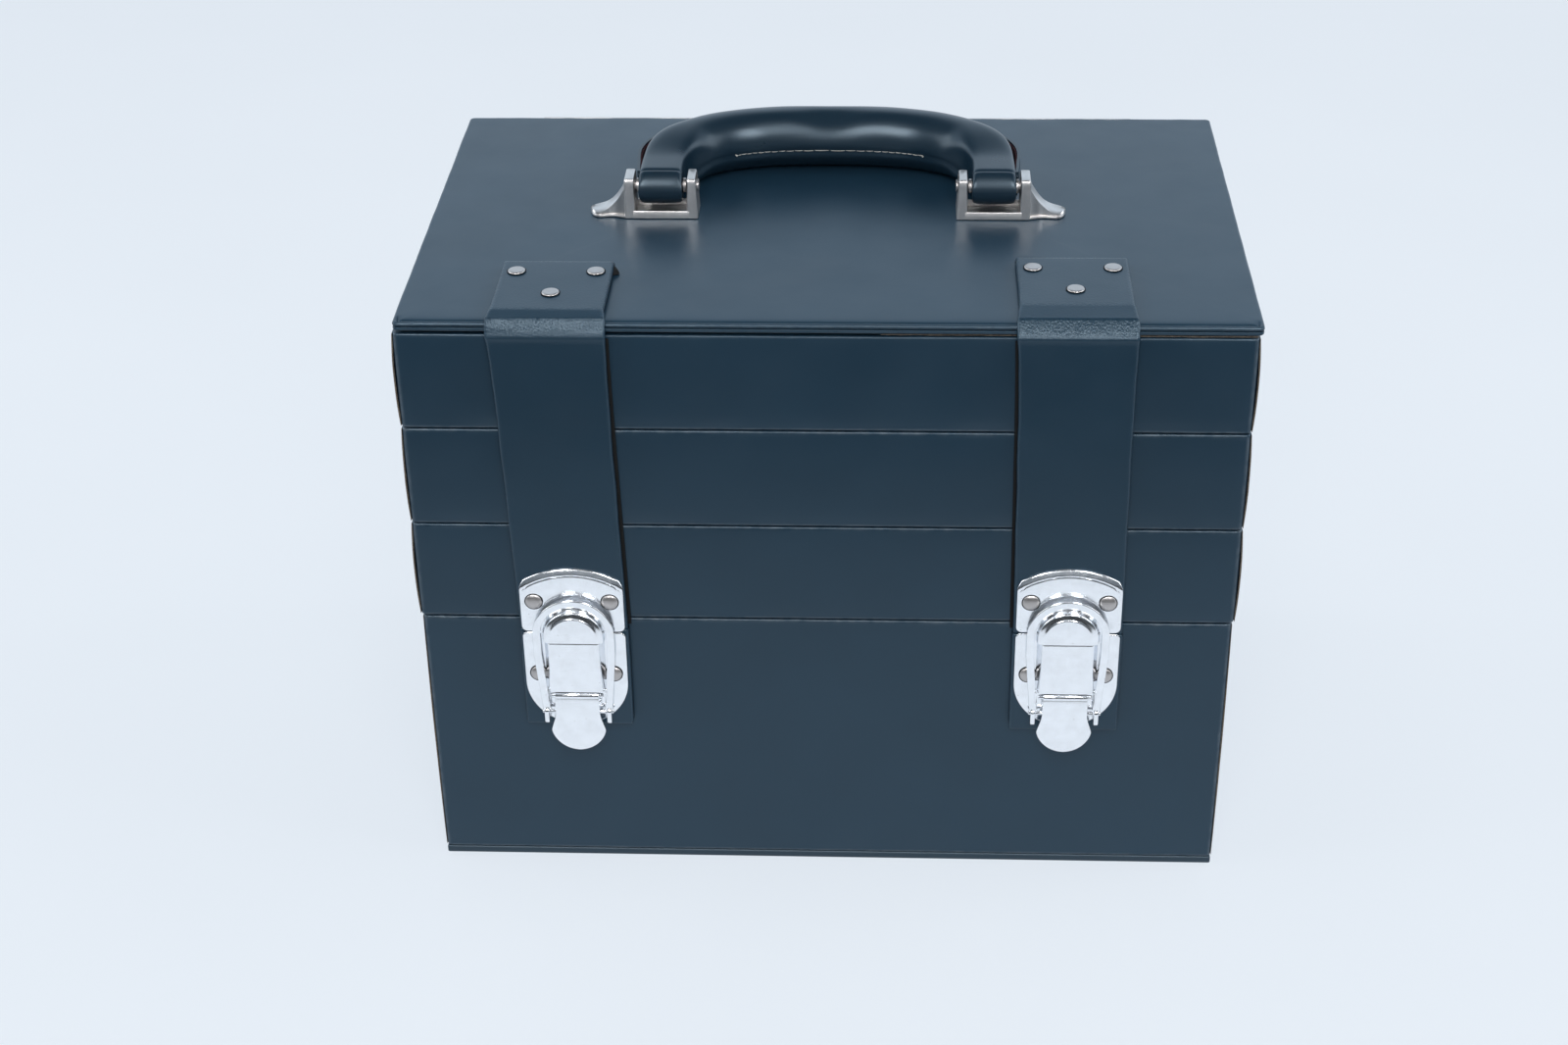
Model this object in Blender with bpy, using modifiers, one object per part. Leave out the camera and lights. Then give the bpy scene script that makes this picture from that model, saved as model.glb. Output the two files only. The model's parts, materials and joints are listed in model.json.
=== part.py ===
"""A sewing box: a deep base, three trays on swinging link arms, and a strapped lid with a carrying handle.

Units are metres, +Z is up and +Y points to the hinge side. The origin is the centre of the base's underside.
"""

import math

import bmesh
import bpy
from mathutils import Matrix, Vector

MM = 0.001

# Driving dimensions.
WIDTH = 300 * MM
DEPTH = 186.4 * MM
BASE_WIDTH = 298.6 * MM
WALL = 4 * MM
GAP = 0.3 * MM
FLOOR_THICKNESS = 3 * MM
CORNER_RADIUS = 1.5 * MM
SEAMS = {3: 111.5 * MM, 2: 151.5 * MM, 1: 191.0 * MM, 0: 228.7 * MM}
LID_TOP = 233.1 * MM
LID_WIDTH = 301.2 * MM
LID_SHIFT = 0.8 * MM
LID_FRONT_OVERHANG = 0.7 * MM
LINING_THICKNESS = 1 * MM
LINING_CLEARANCE = 1 * MM

FRONT = -DEPTH / 2
REAR = DEPTH / 2
INNER_HALF_WIDTH = WIDTH / 2 - WALL
INNER_HALF_DEPTH = DEPTH / 2 - WALL

# Link arms.
ARM_LENGTH = 40 * MM
ARM_CLOSED_ANGLE = math.radians(30)
ARM_HALF_WIDTH = 6 * MM
ARM_THICKNESS = 2 * MM
ARM_STANDOFF = 1.2 * MM
PIVOT_FROM_SEAM = ARM_LENGTH * math.sin(ARM_CLOSED_ANGLE) / 2
PIVOT_ROWS = {"front": -20 * MM, "rear": 60 * MM}
PIVOT_RADIUS = 2 * MM
PIVOT_HEAD_RADIUS = 4 * MM
PIVOT_HEAD_HEIGHT = 1.2 * MM
PIVOT_TAIL_HEIGHT = 1 * MM
ARM_REACH = ARM_LENGTH * math.cos(ARM_CLOSED_ANGLE)

# Dividers: how high they stand, and where each tray's partitions run.
DIVIDER_THICKNESS = 2.4 * MM
DIVIDER_DROP = 3 * MM
DIVIDER_LONG = {1: -8 * MM, 2: None, 3: None}
DIVIDER_CROSS = {1: (-48 * MM, 48 * MM), 2: (-50 * MM, 50 * MM), 3: (30 * MM,)}

# Straps, their backing pads and the toggle latches.
STRAPS = {
    "left": {"lid_x": -96.0 * MM, "latch_x": -92.7 * MM, "latch_z": -1.8 * MM, "rear": -49.5 * MM},
    "right": {"lid_x": 87.8 * MM, "latch_x": 89.2 * MM, "latch_z": 0.0, "rear": -44.5 * MM},
}
STRAP_WIDTH = 40 * MM
STRAP_THICKNESS = 2.8 * MM
STRAP_BOTTOM = 109.2 * MM
STRAP_BEND_RUN = 8 * MM
STRAP_BEND_DROP = 6 * MM
STRAP_RIVETS = ((-14.2 * MM, 9.3 * MM), (14.2 * MM, 9.3 * MM), (0.0, 26.7 * MM))
PAD_BOTTOM = 65.5 * MM
PAD_TOP = 108.6 * MM
PAD_WIDTH = 40.4 * MM
PLATE_THICKNESS = 0.8 * MM
RIVET_HEAD_RADIUS = 3.15 * MM
RIVET_HEAD_HEIGHT = 1 * MM
RIVET_SHANK_RADIUS = 1.2 * MM
HOLE_CLEARANCE = 0.3 * MM
DRILL_LENGTH = 24 * MM

KEEPER_HALF_WIDTH = 19.1 * MM
KEEPER_BOTTOM = 110.7 * MM
KEEPER_SHOULDER = 128.6 * MM
KEEPER_TOP = 137.1 * MM
KEEPER_RIVETS = ((-14 * MM, 123.3 * MM), (14 * MM, 123.3 * MM))
BOSS_FOOT_RADIUS = 11.9 * MM
BOSS_FACE_RADIUS = 9.5 * MM
BOSS_FOOT_CENTRE = 109.5 * MM
BOSS_FACE_CENTRE = 108.8 * MM
BOSS_BOTTOM = 107.3 * MM
BOSS_HEIGHT = 3.7 * MM
BOSS_OVERLAP = 0.45 * MM
BOSS_RELIEF = 0.5 * MM

PLATE_TOP = 109.0 * MM
PLATE_HALF_WIDTH = 19.1 * MM
PLATE_STRAIGHT_BOTTOM = 87.3 * MM
PLATE_RIVETS = ((-14 * MM, 91.5 * MM), (14 * MM, 91.5 * MM))
COVER_HALF_WIDTH = 9.7 * MM
COVER_TOP = 106.9 * MM
COVER_FACE_BOTTOM = 85.3 * MM
COVER_EAR_BOTTOM = 77.6 * MM
SHEET = 0.8 * MM

LEVER_PIVOT_Z = 83.0 * MM
LEVER_PIVOT_OUT = 7.2 * MM
LEVER_PIN_RADIUS = 0.9 * MM
LEVER_BARREL_RADIUS = 1.5 * MM
LEVER_BORE_CLEARANCE = 0.2 * MM
LEVER_HALF_WIDTH = 8.35 * MM
LEVER_WAIST_Z = 73.5 * MM
LEVER_MIDDLE_HALF_WIDTH = 9 * MM
LEVER_MIDDLE_Z = 69.5 * MM
LEVER_FLARE_HALF_WIDTH = 10.3 * MM
LEVER_FLARE_Z = 68.0 * MM
LEVER_BOTTOM = 59.2 * MM
BAIL_PIVOT_Z = 75.5 * MM
BAIL_PIVOT_OUT = 6.9 * MM
BAIL_PIN_RADIUS = 0.75 * MM
BAIL_PIN_HALF_LENGTH = 13.4 * MM
BAIL_TAB_RADIUS = 1.6 * MM
BAIL_TAB_DROP = 2.9 * MM
BAIL_TAB_THICKNESS = 1.7 * MM
BAIL_STRIP = 2.9 * MM
BAIL_THICKNESS = 1 * MM
BAIL_ARCH_RADIUS = 15.15 * MM
BAIL_ARCH_CENTRE = 109.8 * MM
BAIL_LEG_TOP = 101 * MM
BAIL_LEG_HALF_SPAN = 13.1 * MM

# Carrying handle. It lies back on the lid, and X here is measured from the handle's middle.
HANDLE_X = -0.9 * MM
HANDLE_Y = -0.5 * MM
HANDLE_PIN_HEIGHT = 11.2 * MM
HANDLE_PIN_RADIUS = 1.75 * MM
GRIP_RADIUS = 10.8 * MM
GRIP_HALF_SPAN = 62 * MM
GRIP_REACH = 47.5 * MM
GRIP_SQUARENESS = 2.6
GRIP_START = 6 * MM
GRIP_END = 9 * MM
GRIP_BEND_START = 10 * MM
GRIP_STEPS = 26
SLEEVE_HALF_WIDTH = 8 * MM
SLEEVE_HALF_THICKNESS = 6 * MM
SLEEVE_LENGTH = 16 * MM
BRACKET_HALF_DEPTH = 6.3 * MM
BRACKET_HEIGHT = 15.2 * MM
BRACKET_FLOOR = 2.8 * MM
BRACKET_TIP = 89 * MM
BRACKET_OUTER_CHEEK = (71.7 * MM, 75.7 * MM)
BRACKET_INNER_CHEEK = (48.2 * MM, 52.4 * MM)
BRACKET_FOOT_HEIGHT = 1.6 * MM
BRACKET_TAPER = 0.5 * MM
BRACKET_SWEEP_STEPS = 9
BRACKET_SWEEP_OUT = 1.6
BRACKET_SWEEP_DOWN = 1.9
PIN_SETBACK = 0.5 * MM

# Strip hinge at the rear.
HINGE_Y = REAR + 2.1 * MM
HINGE_Z = SEAMS[0]
HINGE_HALF_LENGTH = 120 * MM
HINGE_KNUCKLES = 5
HINGE_KNUCKLE_RADIUS = 1.7 * MM
HINGE_PIN_RADIUS = 0.75 * MM
HINGE_LEAF_THICKNESS = 0.8 * MM
HINGE_LEAF_START = 2.1 * MM
HINGE_LEAF_HEIGHTS = {"tray": 13 * MM, "lid": 3.9 * MM}

# Surfaces that follow from the sizes above.
STRAP_INNER_Y = FRONT - LID_FRONT_OVERHANG - GAP
STRAP_OUTER_Y = STRAP_INNER_Y - STRAP_THICKNESS
PLATE_BACK_Y = STRAP_OUTER_Y - GAP
PLATE_FRONT_Y = PLATE_BACK_Y - PLATE_THICKNESS
STRAP_UNDER_Z = LID_TOP + GAP
STRAP_TOP_Z = STRAP_UNDER_Z + STRAP_THICKNESS

FRONT_VIEW = Matrix.Rotation(math.radians(90), 4, "X")
SIDE_VIEW = Matrix(((0, 0, 1, 0), (1, 0, 0, 0), (0, 1, 0, 0), (0, 0, 0, 1)))


def clear_scene():
    for obj in list(bpy.data.objects):
        bpy.data.objects.remove(obj, do_unlink=True)


def new_collection(name):
    collection = bpy.data.collections.new(name)
    bpy.context.scene.collection.children.link(collection)
    return collection


def material(name, colour, roughness, metallic=0.0):
    made = bpy.data.materials.new(name)
    made.use_nodes = True
    shader = made.node_tree.nodes["Principled BSDF"]
    shader.inputs["Base Color"].default_value = (*colour, 1.0)
    shader.inputs["Roughness"].default_value = roughness
    shader.inputs["Metallic"].default_value = metallic
    return made


def add_object(name, mesh, collection, place=None, surface=None):
    """Put a mesh into the scene as one named object."""
    obj = bpy.data.objects.new(name, mesh)
    collection.objects.link(obj)
    if place is not None:
        obj.matrix_world = place
    if surface is not None:
        obj.data.materials.clear()
        obj.data.materials.append(surface)
    return obj


def as_tool(obj):
    """Make an object a hidden operand of a Boolean."""
    obj.hide_render = True
    obj.display_type = "WIRE"
    return obj


def box_mesh(name, size, corner=0.0):
    """A box about its own centre, with its upright edges rounded by the corner radius."""
    body = bmesh.new()
    bmesh.ops.create_cube(body, size=1.0)
    bmesh.ops.scale(body, vec=Vector(size), verts=body.verts)
    if corner:
        upright = [e for e in body.edges if abs(e.verts[0].co.z - e.verts[1].co.z) > size[2] / 2]
        bmesh.ops.bevel(body, geom=upright, offset=corner, segments=3, profile=0.5, affect="EDGES")
    mesh = bpy.data.meshes.new(name)
    body.to_mesh(mesh)
    body.free()
    return mesh


def box(name, low, high, collection, surface=None, corner=0.0):
    """A box between two corners."""
    low, high = Vector(low), Vector(high)
    mesh = box_mesh(name, high - low, corner)
    return add_object(name, mesh, collection, Matrix.Translation((low + high) / 2), surface)


def rod(name, centre, axis, radius, length, collection, surface=None, sides=16):
    """A cylinder about a centre, along X, Y or Z."""
    body = bmesh.new()
    bmesh.ops.create_cone(
        body, cap_ends=True, segments=sides, radius1=radius, radius2=radius, depth=length
    )
    mesh = bpy.data.meshes.new(name)
    body.to_mesh(mesh)
    body.free()
    mesh.shade_smooth()
    mesh.set_sharp_from_angle(angle=math.radians(40))
    turn = {
        "X": Matrix.Rotation(math.radians(90), 4, "Y"),
        "Y": Matrix.Rotation(math.radians(90), 4, "X"),
        "Z": Matrix.Identity(4),
    }[axis]
    return add_object(name, mesh, collection, Matrix.Translation(centre) @ turn, surface)


def curve_to_object(curve, name, place, collection, surface):
    """Turn a curve into a welded mesh object at the same place."""
    guide = bpy.data.objects.new(name + "_guide", curve)
    bpy.context.scene.collection.objects.link(guide)
    bpy.context.view_layer.update()
    evaluated = guide.evaluated_get(bpy.context.evaluated_depsgraph_get())
    mesh = bpy.data.meshes.new_from_object(evaluated)
    body = bmesh.new()
    body.from_mesh(mesh)
    bmesh.ops.remove_doubles(body, verts=body.verts, dist=0.01 * MM)
    bmesh.ops.recalc_face_normals(body, faces=body.faces)
    body.to_mesh(mesh)
    body.free()
    bpy.data.objects.remove(guide, do_unlink=True)
    mesh.name = name
    return add_object(name, mesh, collection, place, surface)


def outline_solid(name, points, thickness, place, collection, surface=None):
    """A flat outline, centred through its thickness on the local XY plane of its place."""
    curve = bpy.data.curves.new(name, "CURVE")
    curve.dimensions = "2D"
    curve.fill_mode = "BOTH"
    curve.extrude = thickness / 2
    spline = curve.splines.new("POLY")
    spline.points.add(len(points) - 1)
    for point, (x, y) in zip(spline.points, points):
        point.co = (x, y, 0.0, 1.0)
    spline.use_cyclic_u = True
    return curve_to_object(curve, name, place, collection, surface)


def tube_solid(name, points, radius, place, collection, surface=None):
    """A round tube with filled ends along a list of points."""
    curve = bpy.data.curves.new(name, "CURVE")
    curve.dimensions = "3D"
    curve.bevel_depth = radius
    curve.bevel_resolution = 4
    curve.use_fill_caps = True
    spline = curve.splines.new("POLY")
    spline.points.add(len(points) - 1)
    for point, co in zip(spline.points, points):
        point.co = (*co, 1.0)
    made = curve_to_object(curve, name, place, collection, surface)
    made.data.shade_smooth()
    return made


def turned(name, profile, steps, place, collection, surface=None):
    """A turned piece about local Z from (radius, height) points that run from the top to the bottom."""
    mesh = bpy.data.meshes.new(name)
    points = [(radius, 0.0, height) for radius, height in profile]
    mesh.from_pydata(points, [(i, i + 1) for i in range(len(points) - 1)], [])
    obj = add_object(name, mesh, collection, place)
    screw = obj.modifiers.new("Turn", "SCREW")
    screw.steps = steps
    screw.render_steps = steps
    screw.use_merge_vertices = True
    screw.merge_threshold = 0.01 * MM
    bpy.context.view_layer.update()
    evaluated = obj.evaluated_get(bpy.context.evaluated_depsgraph_get())
    solid = bpy.data.meshes.new_from_object(evaluated)
    obj.modifiers.clear()
    obj.data = solid
    solid.shade_smooth()
    solid.set_sharp_from_angle(angle=math.radians(50))
    if surface is not None:
        solid.materials.clear()
        solid.materials.append(surface)
    return obj


def combine(obj, tool, operation):
    """Join a tool to an object, or cut it away, with a Boolean modifier."""
    as_tool(tool)
    boolean = obj.modifiers.new(operation.title(), "BOOLEAN")
    boolean.operation = operation
    boolean.solver = "EXACT"
    boolean.object = tool


def arc(centre_x, centre_y, radius, start, end, steps):
    """Points of an arc, with its angles in degrees."""
    angles = [math.radians(start + (end - start) * i / steps) for i in range(steps + 1)]
    return [(centre_x + radius * math.cos(a), centre_y + radius * math.sin(a)) for a in angles]


def mirrored(points):
    """An outline's right half, followed by its left half in reverse."""
    return points + [(-x, y) for x, y in reversed(points) if abs(x) > 0.001 * MM]


def joint_empty(name, place):
    """An empty on a joint's axis, which its body's pieces are parented to."""
    empty = bpy.data.objects.new(name, None)
    empty.empty_display_size = 10 * MM
    parts.objects.link(empty)
    empty.location = place
    bpy.context.view_layer.update()
    return empty


def attach(pieces, empty):
    for piece in pieces:
        piece.parent = empty
        piece.matrix_parent_inverse = empty.matrix_world.inverted()


def tier_limits(number):
    """The bottom and top of a tray, which leaves a seam to the pieces above and below it."""
    return SEAMS[number] + GAP, SEAMS[number - 1] - GAP


def lower_pivots(number):
    """Where a stage's arms turn on the tier below it."""
    return {row: (y, SEAMS[number] - PIVOT_FROM_SEAM) for row, y in PIVOT_ROWS.items()}


def upper_pivots(number):
    """Where a stage's arms turn on their tray."""
    return {
        row: (y - ARM_REACH, SEAMS[number] + PIVOT_FROM_SEAM) for row, y in PIVOT_ROWS.items()
    }


def case_walls(name, width, bottom, top, pivots):
    """Four joined walls with a hole through both sides for each pivot."""
    walls = box(
        name, (-width / 2, FRONT, bottom), (width / 2, REAR, top), parts, leatherette, CORNER_RADIUS
    )
    hollow = box(
        name + "_hollow",
        (-INNER_HALF_WIDTH, -INNER_HALF_DEPTH, bottom - WALL),
        (INNER_HALF_WIDTH, INNER_HALF_DEPTH, top + WALL),
        cutters,
    )
    combine(walls, hollow, "DIFFERENCE")
    for number, (y, z) in enumerate(pivots):
        hole = rod(
            f"{name}_pivot_hole_{number}", (0, y, z), "X", PIVOT_RADIUS + HOLE_CLEARANCE,
            WIDTH + WALL, cutters, sides=12,
        )
        combine(walls, hole, "DIFFERENCE")
    return walls


def make_base():
    bottom = FLOOR_THICKNESS + GAP
    walls = case_walls(
        "base_case", BASE_WIDTH, bottom, SEAMS[3] - GAP, lower_pivots(3).values()
    )
    box(
        "base_board", (-BASE_WIDTH / 2, FRONT, 0), (BASE_WIDTH / 2, REAR, FLOOR_THICKNESS),
        parts, board, CORNER_RADIUS,
    )
    return walls


def make_divider(number, low, high):
    """One tray's partitions, joined into one piece."""
    half_width = INNER_HALF_WIDTH - GAP
    half_depth = INNER_HALF_DEPTH - GAP
    half_thick = DIVIDER_THICKNESS / 2
    name = f"tray_{number}_divider"
    long_y = DIVIDER_LONG[number]
    rear_end = half_depth if long_y is None else long_y
    strips = [
        ((x - half_thick, -half_depth, low), (x + half_thick, rear_end, high))
        for x in DIVIDER_CROSS[number]
    ]
    if long_y is not None:
        strips.insert(0, ((-half_width, long_y - half_thick, low), (half_width, long_y + half_thick, high)))
    if long_y is None and len(strips) == 2:
        (left_low, _), (_, right_high) = strips
        strips.append(
            ((left_low[0] + half_thick, -half_thick, low), (right_high[0] - half_thick, half_thick, high))
        )
    first = box(name, *strips[0], parts, lining)
    for index, (strip_low, strip_high) in enumerate(strips[1:]):
        tool = box(f"{name}_strip_{index}", strip_low, strip_high, cutters)
        combine(first, tool, "UNION")
    return first


def make_tray(number):
    bottom, top = tier_limits(number)
    pivots = list(upper_pivots(number).values())
    if number > 1:
        pivots += list(lower_pivots(number - 1).values())
    walls = case_walls(f"tray_{number}_case", WIDTH, bottom, top, pivots)
    half_width = INNER_HALF_WIDTH - GAP
    half_depth = INNER_HALF_DEPTH - GAP
    floor_top = bottom + FLOOR_THICKNESS
    floor = box(
        f"tray_{number}_floor", (-half_width, -half_depth, bottom), (half_width, half_depth, floor_top),
        parts, lining,
    )
    divider = make_divider(number, floor_top + GAP, top - DIVIDER_DROP)
    return [walls, floor, divider]


def make_arm_mesh():
    """A flat arm with its two rivets. It stands on its lower pivot, and +X is outwards."""
    capsule = arc(0, ARM_LENGTH, ARM_HALF_WIDTH, 0, 180, 6) + arc(0, 0, ARM_HALF_WIDTH, 180, 360, 6)
    plate_middle = WIDTH / 2 + ARM_STANDOFF + ARM_THICKNESS / 2
    place = Matrix.Translation((plate_middle, 0, 0)) @ SIDE_VIEW
    plate = outline_solid("arm_pattern", capsule, ARM_THICKNESS, place, cutters)
    outer = WIDTH / 2 + ARM_STANDOFF + ARM_THICKNESS
    inner = INNER_HALF_WIDTH - GAP
    profile = [
        (0.0, outer + PIVOT_HEAD_HEIGHT),
        (0.6 * PIVOT_HEAD_RADIUS, outer + 0.8 * PIVOT_HEAD_HEIGHT),
        (PIVOT_HEAD_RADIUS, outer),
        (PIVOT_HEAD_RADIUS, outer - ARM_THICKNESS / 2),
        (PIVOT_RADIUS, outer - ARM_THICKNESS / 2),
        (PIVOT_RADIUS, inner),
        (PIVOT_HEAD_RADIUS, inner),
        (PIVOT_HEAD_RADIUS, inner - PIVOT_TAIL_HEIGHT),
        (0.0, inner - PIVOT_TAIL_HEIGHT),
    ]
    for height in (0.0, ARM_LENGTH):
        along_x = Matrix.Translation((0, 0, height)) @ Matrix.Rotation(math.radians(90), 4, "Y")
        rivet = turned(f"arm_pattern_rivet_{height:.3f}", profile, 8, along_x, cutters)
        combine(plate, rivet, "UNION")
    bpy.context.view_layer.update()
    evaluated = plate.evaluated_get(bpy.context.evaluated_depsgraph_get())
    mesh = bpy.data.meshes.new_from_object(evaluated)
    mesh.transform(place)
    mesh.materials.clear()
    mesh.materials.append(nickel)
    mesh.name = "link_arm"
    as_tool(plate)
    return mesh


def make_arms():
    """Two arms on each side of every stage, leaning forwards while the box is closed."""
    mesh = make_arm_mesh()
    lean = math.radians(90) - ARM_CLOSED_ANGLE
    for number in SEAMS:
        if number == 0:
            continue
        for row, (y, z) in lower_pivots(number).items():
            for side, turn in (("left", math.pi), ("right", 0.0)):
                arm = add_object(f"arm_{number}_{side}_{row}", mesh, parts)
                place = Matrix.Translation((0, y, z))
                arm.matrix_world = (
                    place @ Matrix.Rotation(lean, 4, "X") @ Matrix.Rotation(turn, 4, "Z")
                )


def strap_profile(rear):
    """The strap's side outline: along the lid, round its front edge and down to the latch."""
    bend_y = STRAP_OUTER_Y + STRAP_BEND_RUN
    bend_z = STRAP_TOP_Z - STRAP_BEND_DROP
    outside = [(rear, STRAP_TOP_Z)]
    for step in range(7):
        angle = math.radians(90 * step / 6)
        y = bend_y - STRAP_BEND_RUN * math.sin(angle)
        z = bend_z + STRAP_BEND_DROP * math.cos(angle)
        outside.append((y, z))
    outside.append((STRAP_OUTER_Y, STRAP_BOTTOM))
    inside = [(STRAP_INNER_Y, STRAP_BOTTOM), (STRAP_INNER_Y, STRAP_UNDER_Z), (rear, STRAP_UNDER_Z)]
    return outside + inside


def make_strap(side):
    """A stiffened strap. Its hanging part drifts from the lid's place to the latch's place."""
    place = STRAPS[side]
    strap = outline_solid(
        f"strap_{side}", strap_profile(place["rear"]), STRAP_WIDTH, SIDE_VIEW, parts, leatherette
    )
    drift = place["latch_x"] - place["lid_x"]
    for vertex in strap.data.vertices:
        fall = max(0.0, LID_TOP - vertex.co.y) / (LID_TOP - STRAP_BOTTOM)
        vertex.co.z += place["lid_x"] + drift * fall
    for number, (x, back) in enumerate(STRAP_RIVETS):
        spot = (place["lid_x"] + x, place["rear"] - back)
        radius = RIVET_SHANK_RADIUS + HOLE_CLEARANCE
        hole = rod(
            f"strap_{side}_hole_{number}", (*spot, LID_TOP), "Z", radius, DRILL_LENGTH, cutters,
            sides=10,
        )
        combine(strap, hole, "DIFFERENCE")
        combine(lid, hole, "DIFFERENCE")
        make_rivet(
            f"strap_{side}_rivet_{number + 1}",
            Matrix.Translation((*spot, STRAP_TOP_Z + GAP)),
            STRAP_TOP_Z - SEAMS[0],
        )
    return strap


def make_rivet(name, place, length):
    """A domed rivet whose head sits at the place and whose shank runs down local -Z."""
    radius, height = RIVET_HEAD_RADIUS, RIVET_HEAD_HEIGHT
    profile = [
        (radius * math.sin(a), height * math.cos(a))
        for a in (math.radians(30 * step) for step in range(4))
    ]
    profile += [(RIVET_SHANK_RADIUS, 0.0), (RIVET_SHANK_RADIUS, -length), (0.0, -length)]
    profile[0] = (0.0, height)
    return turned(name, profile, 12, place, parts, rivet_metal)


def drill_and_rivet(name, spots, latch_x, latch_z, targets, depth):
    """Rivets through plates on the front, each in a clearance hole."""
    for number, (x, z) in enumerate(spots):
        middle = (latch_x + x, PLATE_FRONT_Y, latch_z + z)
        hole = rod(
            f"{name}_hole_{number}", middle, "Y", RIVET_SHANK_RADIUS + HOLE_CLEARANCE,
            DRILL_LENGTH, cutters, sides=10,
        )
        for target in targets:
            combine(target, hole, "DIFFERENCE")
        head = Matrix.Translation((latch_x + x, PLATE_FRONT_Y - GAP, latch_z + z))
        make_rivet(f"{name}_rivet_{number + 1}", head @ FRONT_VIEW, depth)


def make_keeper(side, strap):
    """The catch plate on the strap's end, with the raised boss that the bail hooks over."""
    latch_x, latch_z = STRAPS[side]["latch_x"], STRAPS[side]["latch_z"]
    rise = KEEPER_TOP - KEEPER_SHOULDER
    crown_radius = (KEEPER_HALF_WIDTH**2 + rise**2) / (2 * rise)
    half_sweep = math.degrees(math.asin(KEEPER_HALF_WIDTH / crown_radius))
    corner = 2.5 * MM
    half = arc(KEEPER_HALF_WIDTH - corner, KEEPER_BOTTOM + corner, corner, -90, 0, 4)
    half += arc(0, KEEPER_TOP - crown_radius, crown_radius, 90 - half_sweep, 90, 6)
    place = Matrix.Translation((latch_x, (PLATE_BACK_Y + PLATE_FRONT_Y) / 2, latch_z)) @ FRONT_VIEW
    keeper = outline_solid(
        f"keeper_{side}", mirrored(half), PLATE_THICKNESS, place, parts, chrome
    )
    body = bmesh.new()
    bmesh.ops.create_cone(
        body, cap_ends=True, segments=40, radius1=BOSS_FOOT_RADIUS, radius2=BOSS_FACE_RADIUS,
        depth=BOSS_HEIGHT + PLATE_THICKNESS / 2,
    )
    face = [v for v in body.verts if v.co.z > 0]
    bmesh.ops.translate(body, vec=(0, BOSS_FACE_CENTRE - BOSS_FOOT_CENTRE, 0), verts=face)
    mesh = bpy.data.meshes.new(f"keeper_{side}_boss")
    body.to_mesh(mesh)
    body.free()
    out = Matrix.Translation(
        (latch_x, PLATE_FRONT_Y - BOSS_HEIGHT / 2 + PLATE_THICKNESS / 4, latch_z + BOSS_FOOT_CENTRE)
    )
    boss = add_object(f"keeper_{side}_boss", mesh, cutters, out @ FRONT_VIEW)
    reach = 2 * BOSS_FOOT_RADIUS
    below = box(
        f"keeper_{side}_below",
        (latch_x - reach, PLATE_FRONT_Y - reach, latch_z + BOSS_BOTTOM - reach),
        (latch_x + reach, PLATE_FRONT_Y + reach, latch_z + BOSS_BOTTOM),
        cutters,
    )
    behind = box(
        f"keeper_{side}_behind",
        (latch_x - reach, PLATE_FRONT_Y - BOSS_OVERLAP, latch_z + BOSS_BOTTOM - reach),
        (latch_x + reach, PLATE_FRONT_Y + reach, latch_z + PLATE_TOP + BOSS_RELIEF),
        cutters,
    )
    combine(boss, below, "DIFFERENCE")
    combine(boss, behind, "DIFFERENCE")
    combine(keeper, boss, "UNION")
    shank = PLATE_FRONT_Y - STRAP_INNER_Y
    drill_and_rivet(
        f"keeper_{side}", KEEPER_RIVETS, latch_x, latch_z, (keeper, strap), -shank
    )
    return keeper


def make_latch_plate(side, pad):
    """The plate on the base, with the cover that holds the lever's pin between its ears."""
    latch_x, latch_z = STRAPS[side]["latch_x"], STRAPS[side]["latch_z"]
    corner = 2 * MM
    half = arc(PLATE_HALF_WIDTH - corner, PLATE_TOP - corner, corner, 90, 0, 4)
    half += arc(0, PLATE_STRAIGHT_BOTTOM, PLATE_HALF_WIDTH, 0, -90, 10)
    place = Matrix.Translation((latch_x, (PLATE_BACK_Y + PLATE_FRONT_Y) / 2, latch_z)) @ FRONT_VIEW
    plate = outline_solid(
        f"latch_plate_{side}", mirrored(half), PLATE_THICKNESS, place, parts, chrome
    )
    front = PLATE_FRONT_Y - BOSS_HEIGHT
    cover = box(
        f"latch_plate_{side}_cover",
        (latch_x - COVER_HALF_WIDTH, front, latch_z + COVER_EAR_BOTTOM),
        (latch_x + COVER_HALF_WIDTH, PLATE_FRONT_Y + PLATE_THICKNESS / 2, latch_z + COVER_TOP),
        cutters,
    )
    inside = COVER_HALF_WIDTH - SHEET
    hollow = box(
        f"latch_plate_{side}_hollow",
        (latch_x - inside, front + SHEET, latch_z + COVER_EAR_BOTTOM - SHEET),
        (latch_x + inside, PLATE_BACK_Y + SHEET, latch_z + COVER_TOP - SHEET),
        cutters,
    )
    mouth = box(
        f"latch_plate_{side}_mouth",
        (latch_x - inside, front - SHEET, latch_z + COVER_EAR_BOTTOM - SHEET),
        (latch_x + inside, front + 2 * SHEET, latch_z + COVER_FACE_BOTTOM),
        cutters,
    )
    combine(cover, hollow, "DIFFERENCE")
    combine(cover, mouth, "DIFFERENCE")
    combine(plate, cover, "UNION")
    pin = rod(
        f"latch_plate_{side}_pin", (latch_x, FRONT - LEVER_PIVOT_OUT, latch_z + LEVER_PIVOT_Z), "X",
        LEVER_PIN_RADIUS, 2 * inside + SHEET, cutters, sides=12,
    )
    combine(plate, pin, "UNION")
    depth = -(PLATE_FRONT_Y - FRONT) + WALL
    drill_and_rivet(
        f"latch_plate_{side}", PLATE_RIVETS, latch_x, latch_z, (plate, pad, base_case), depth
    )
    return plate


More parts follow.
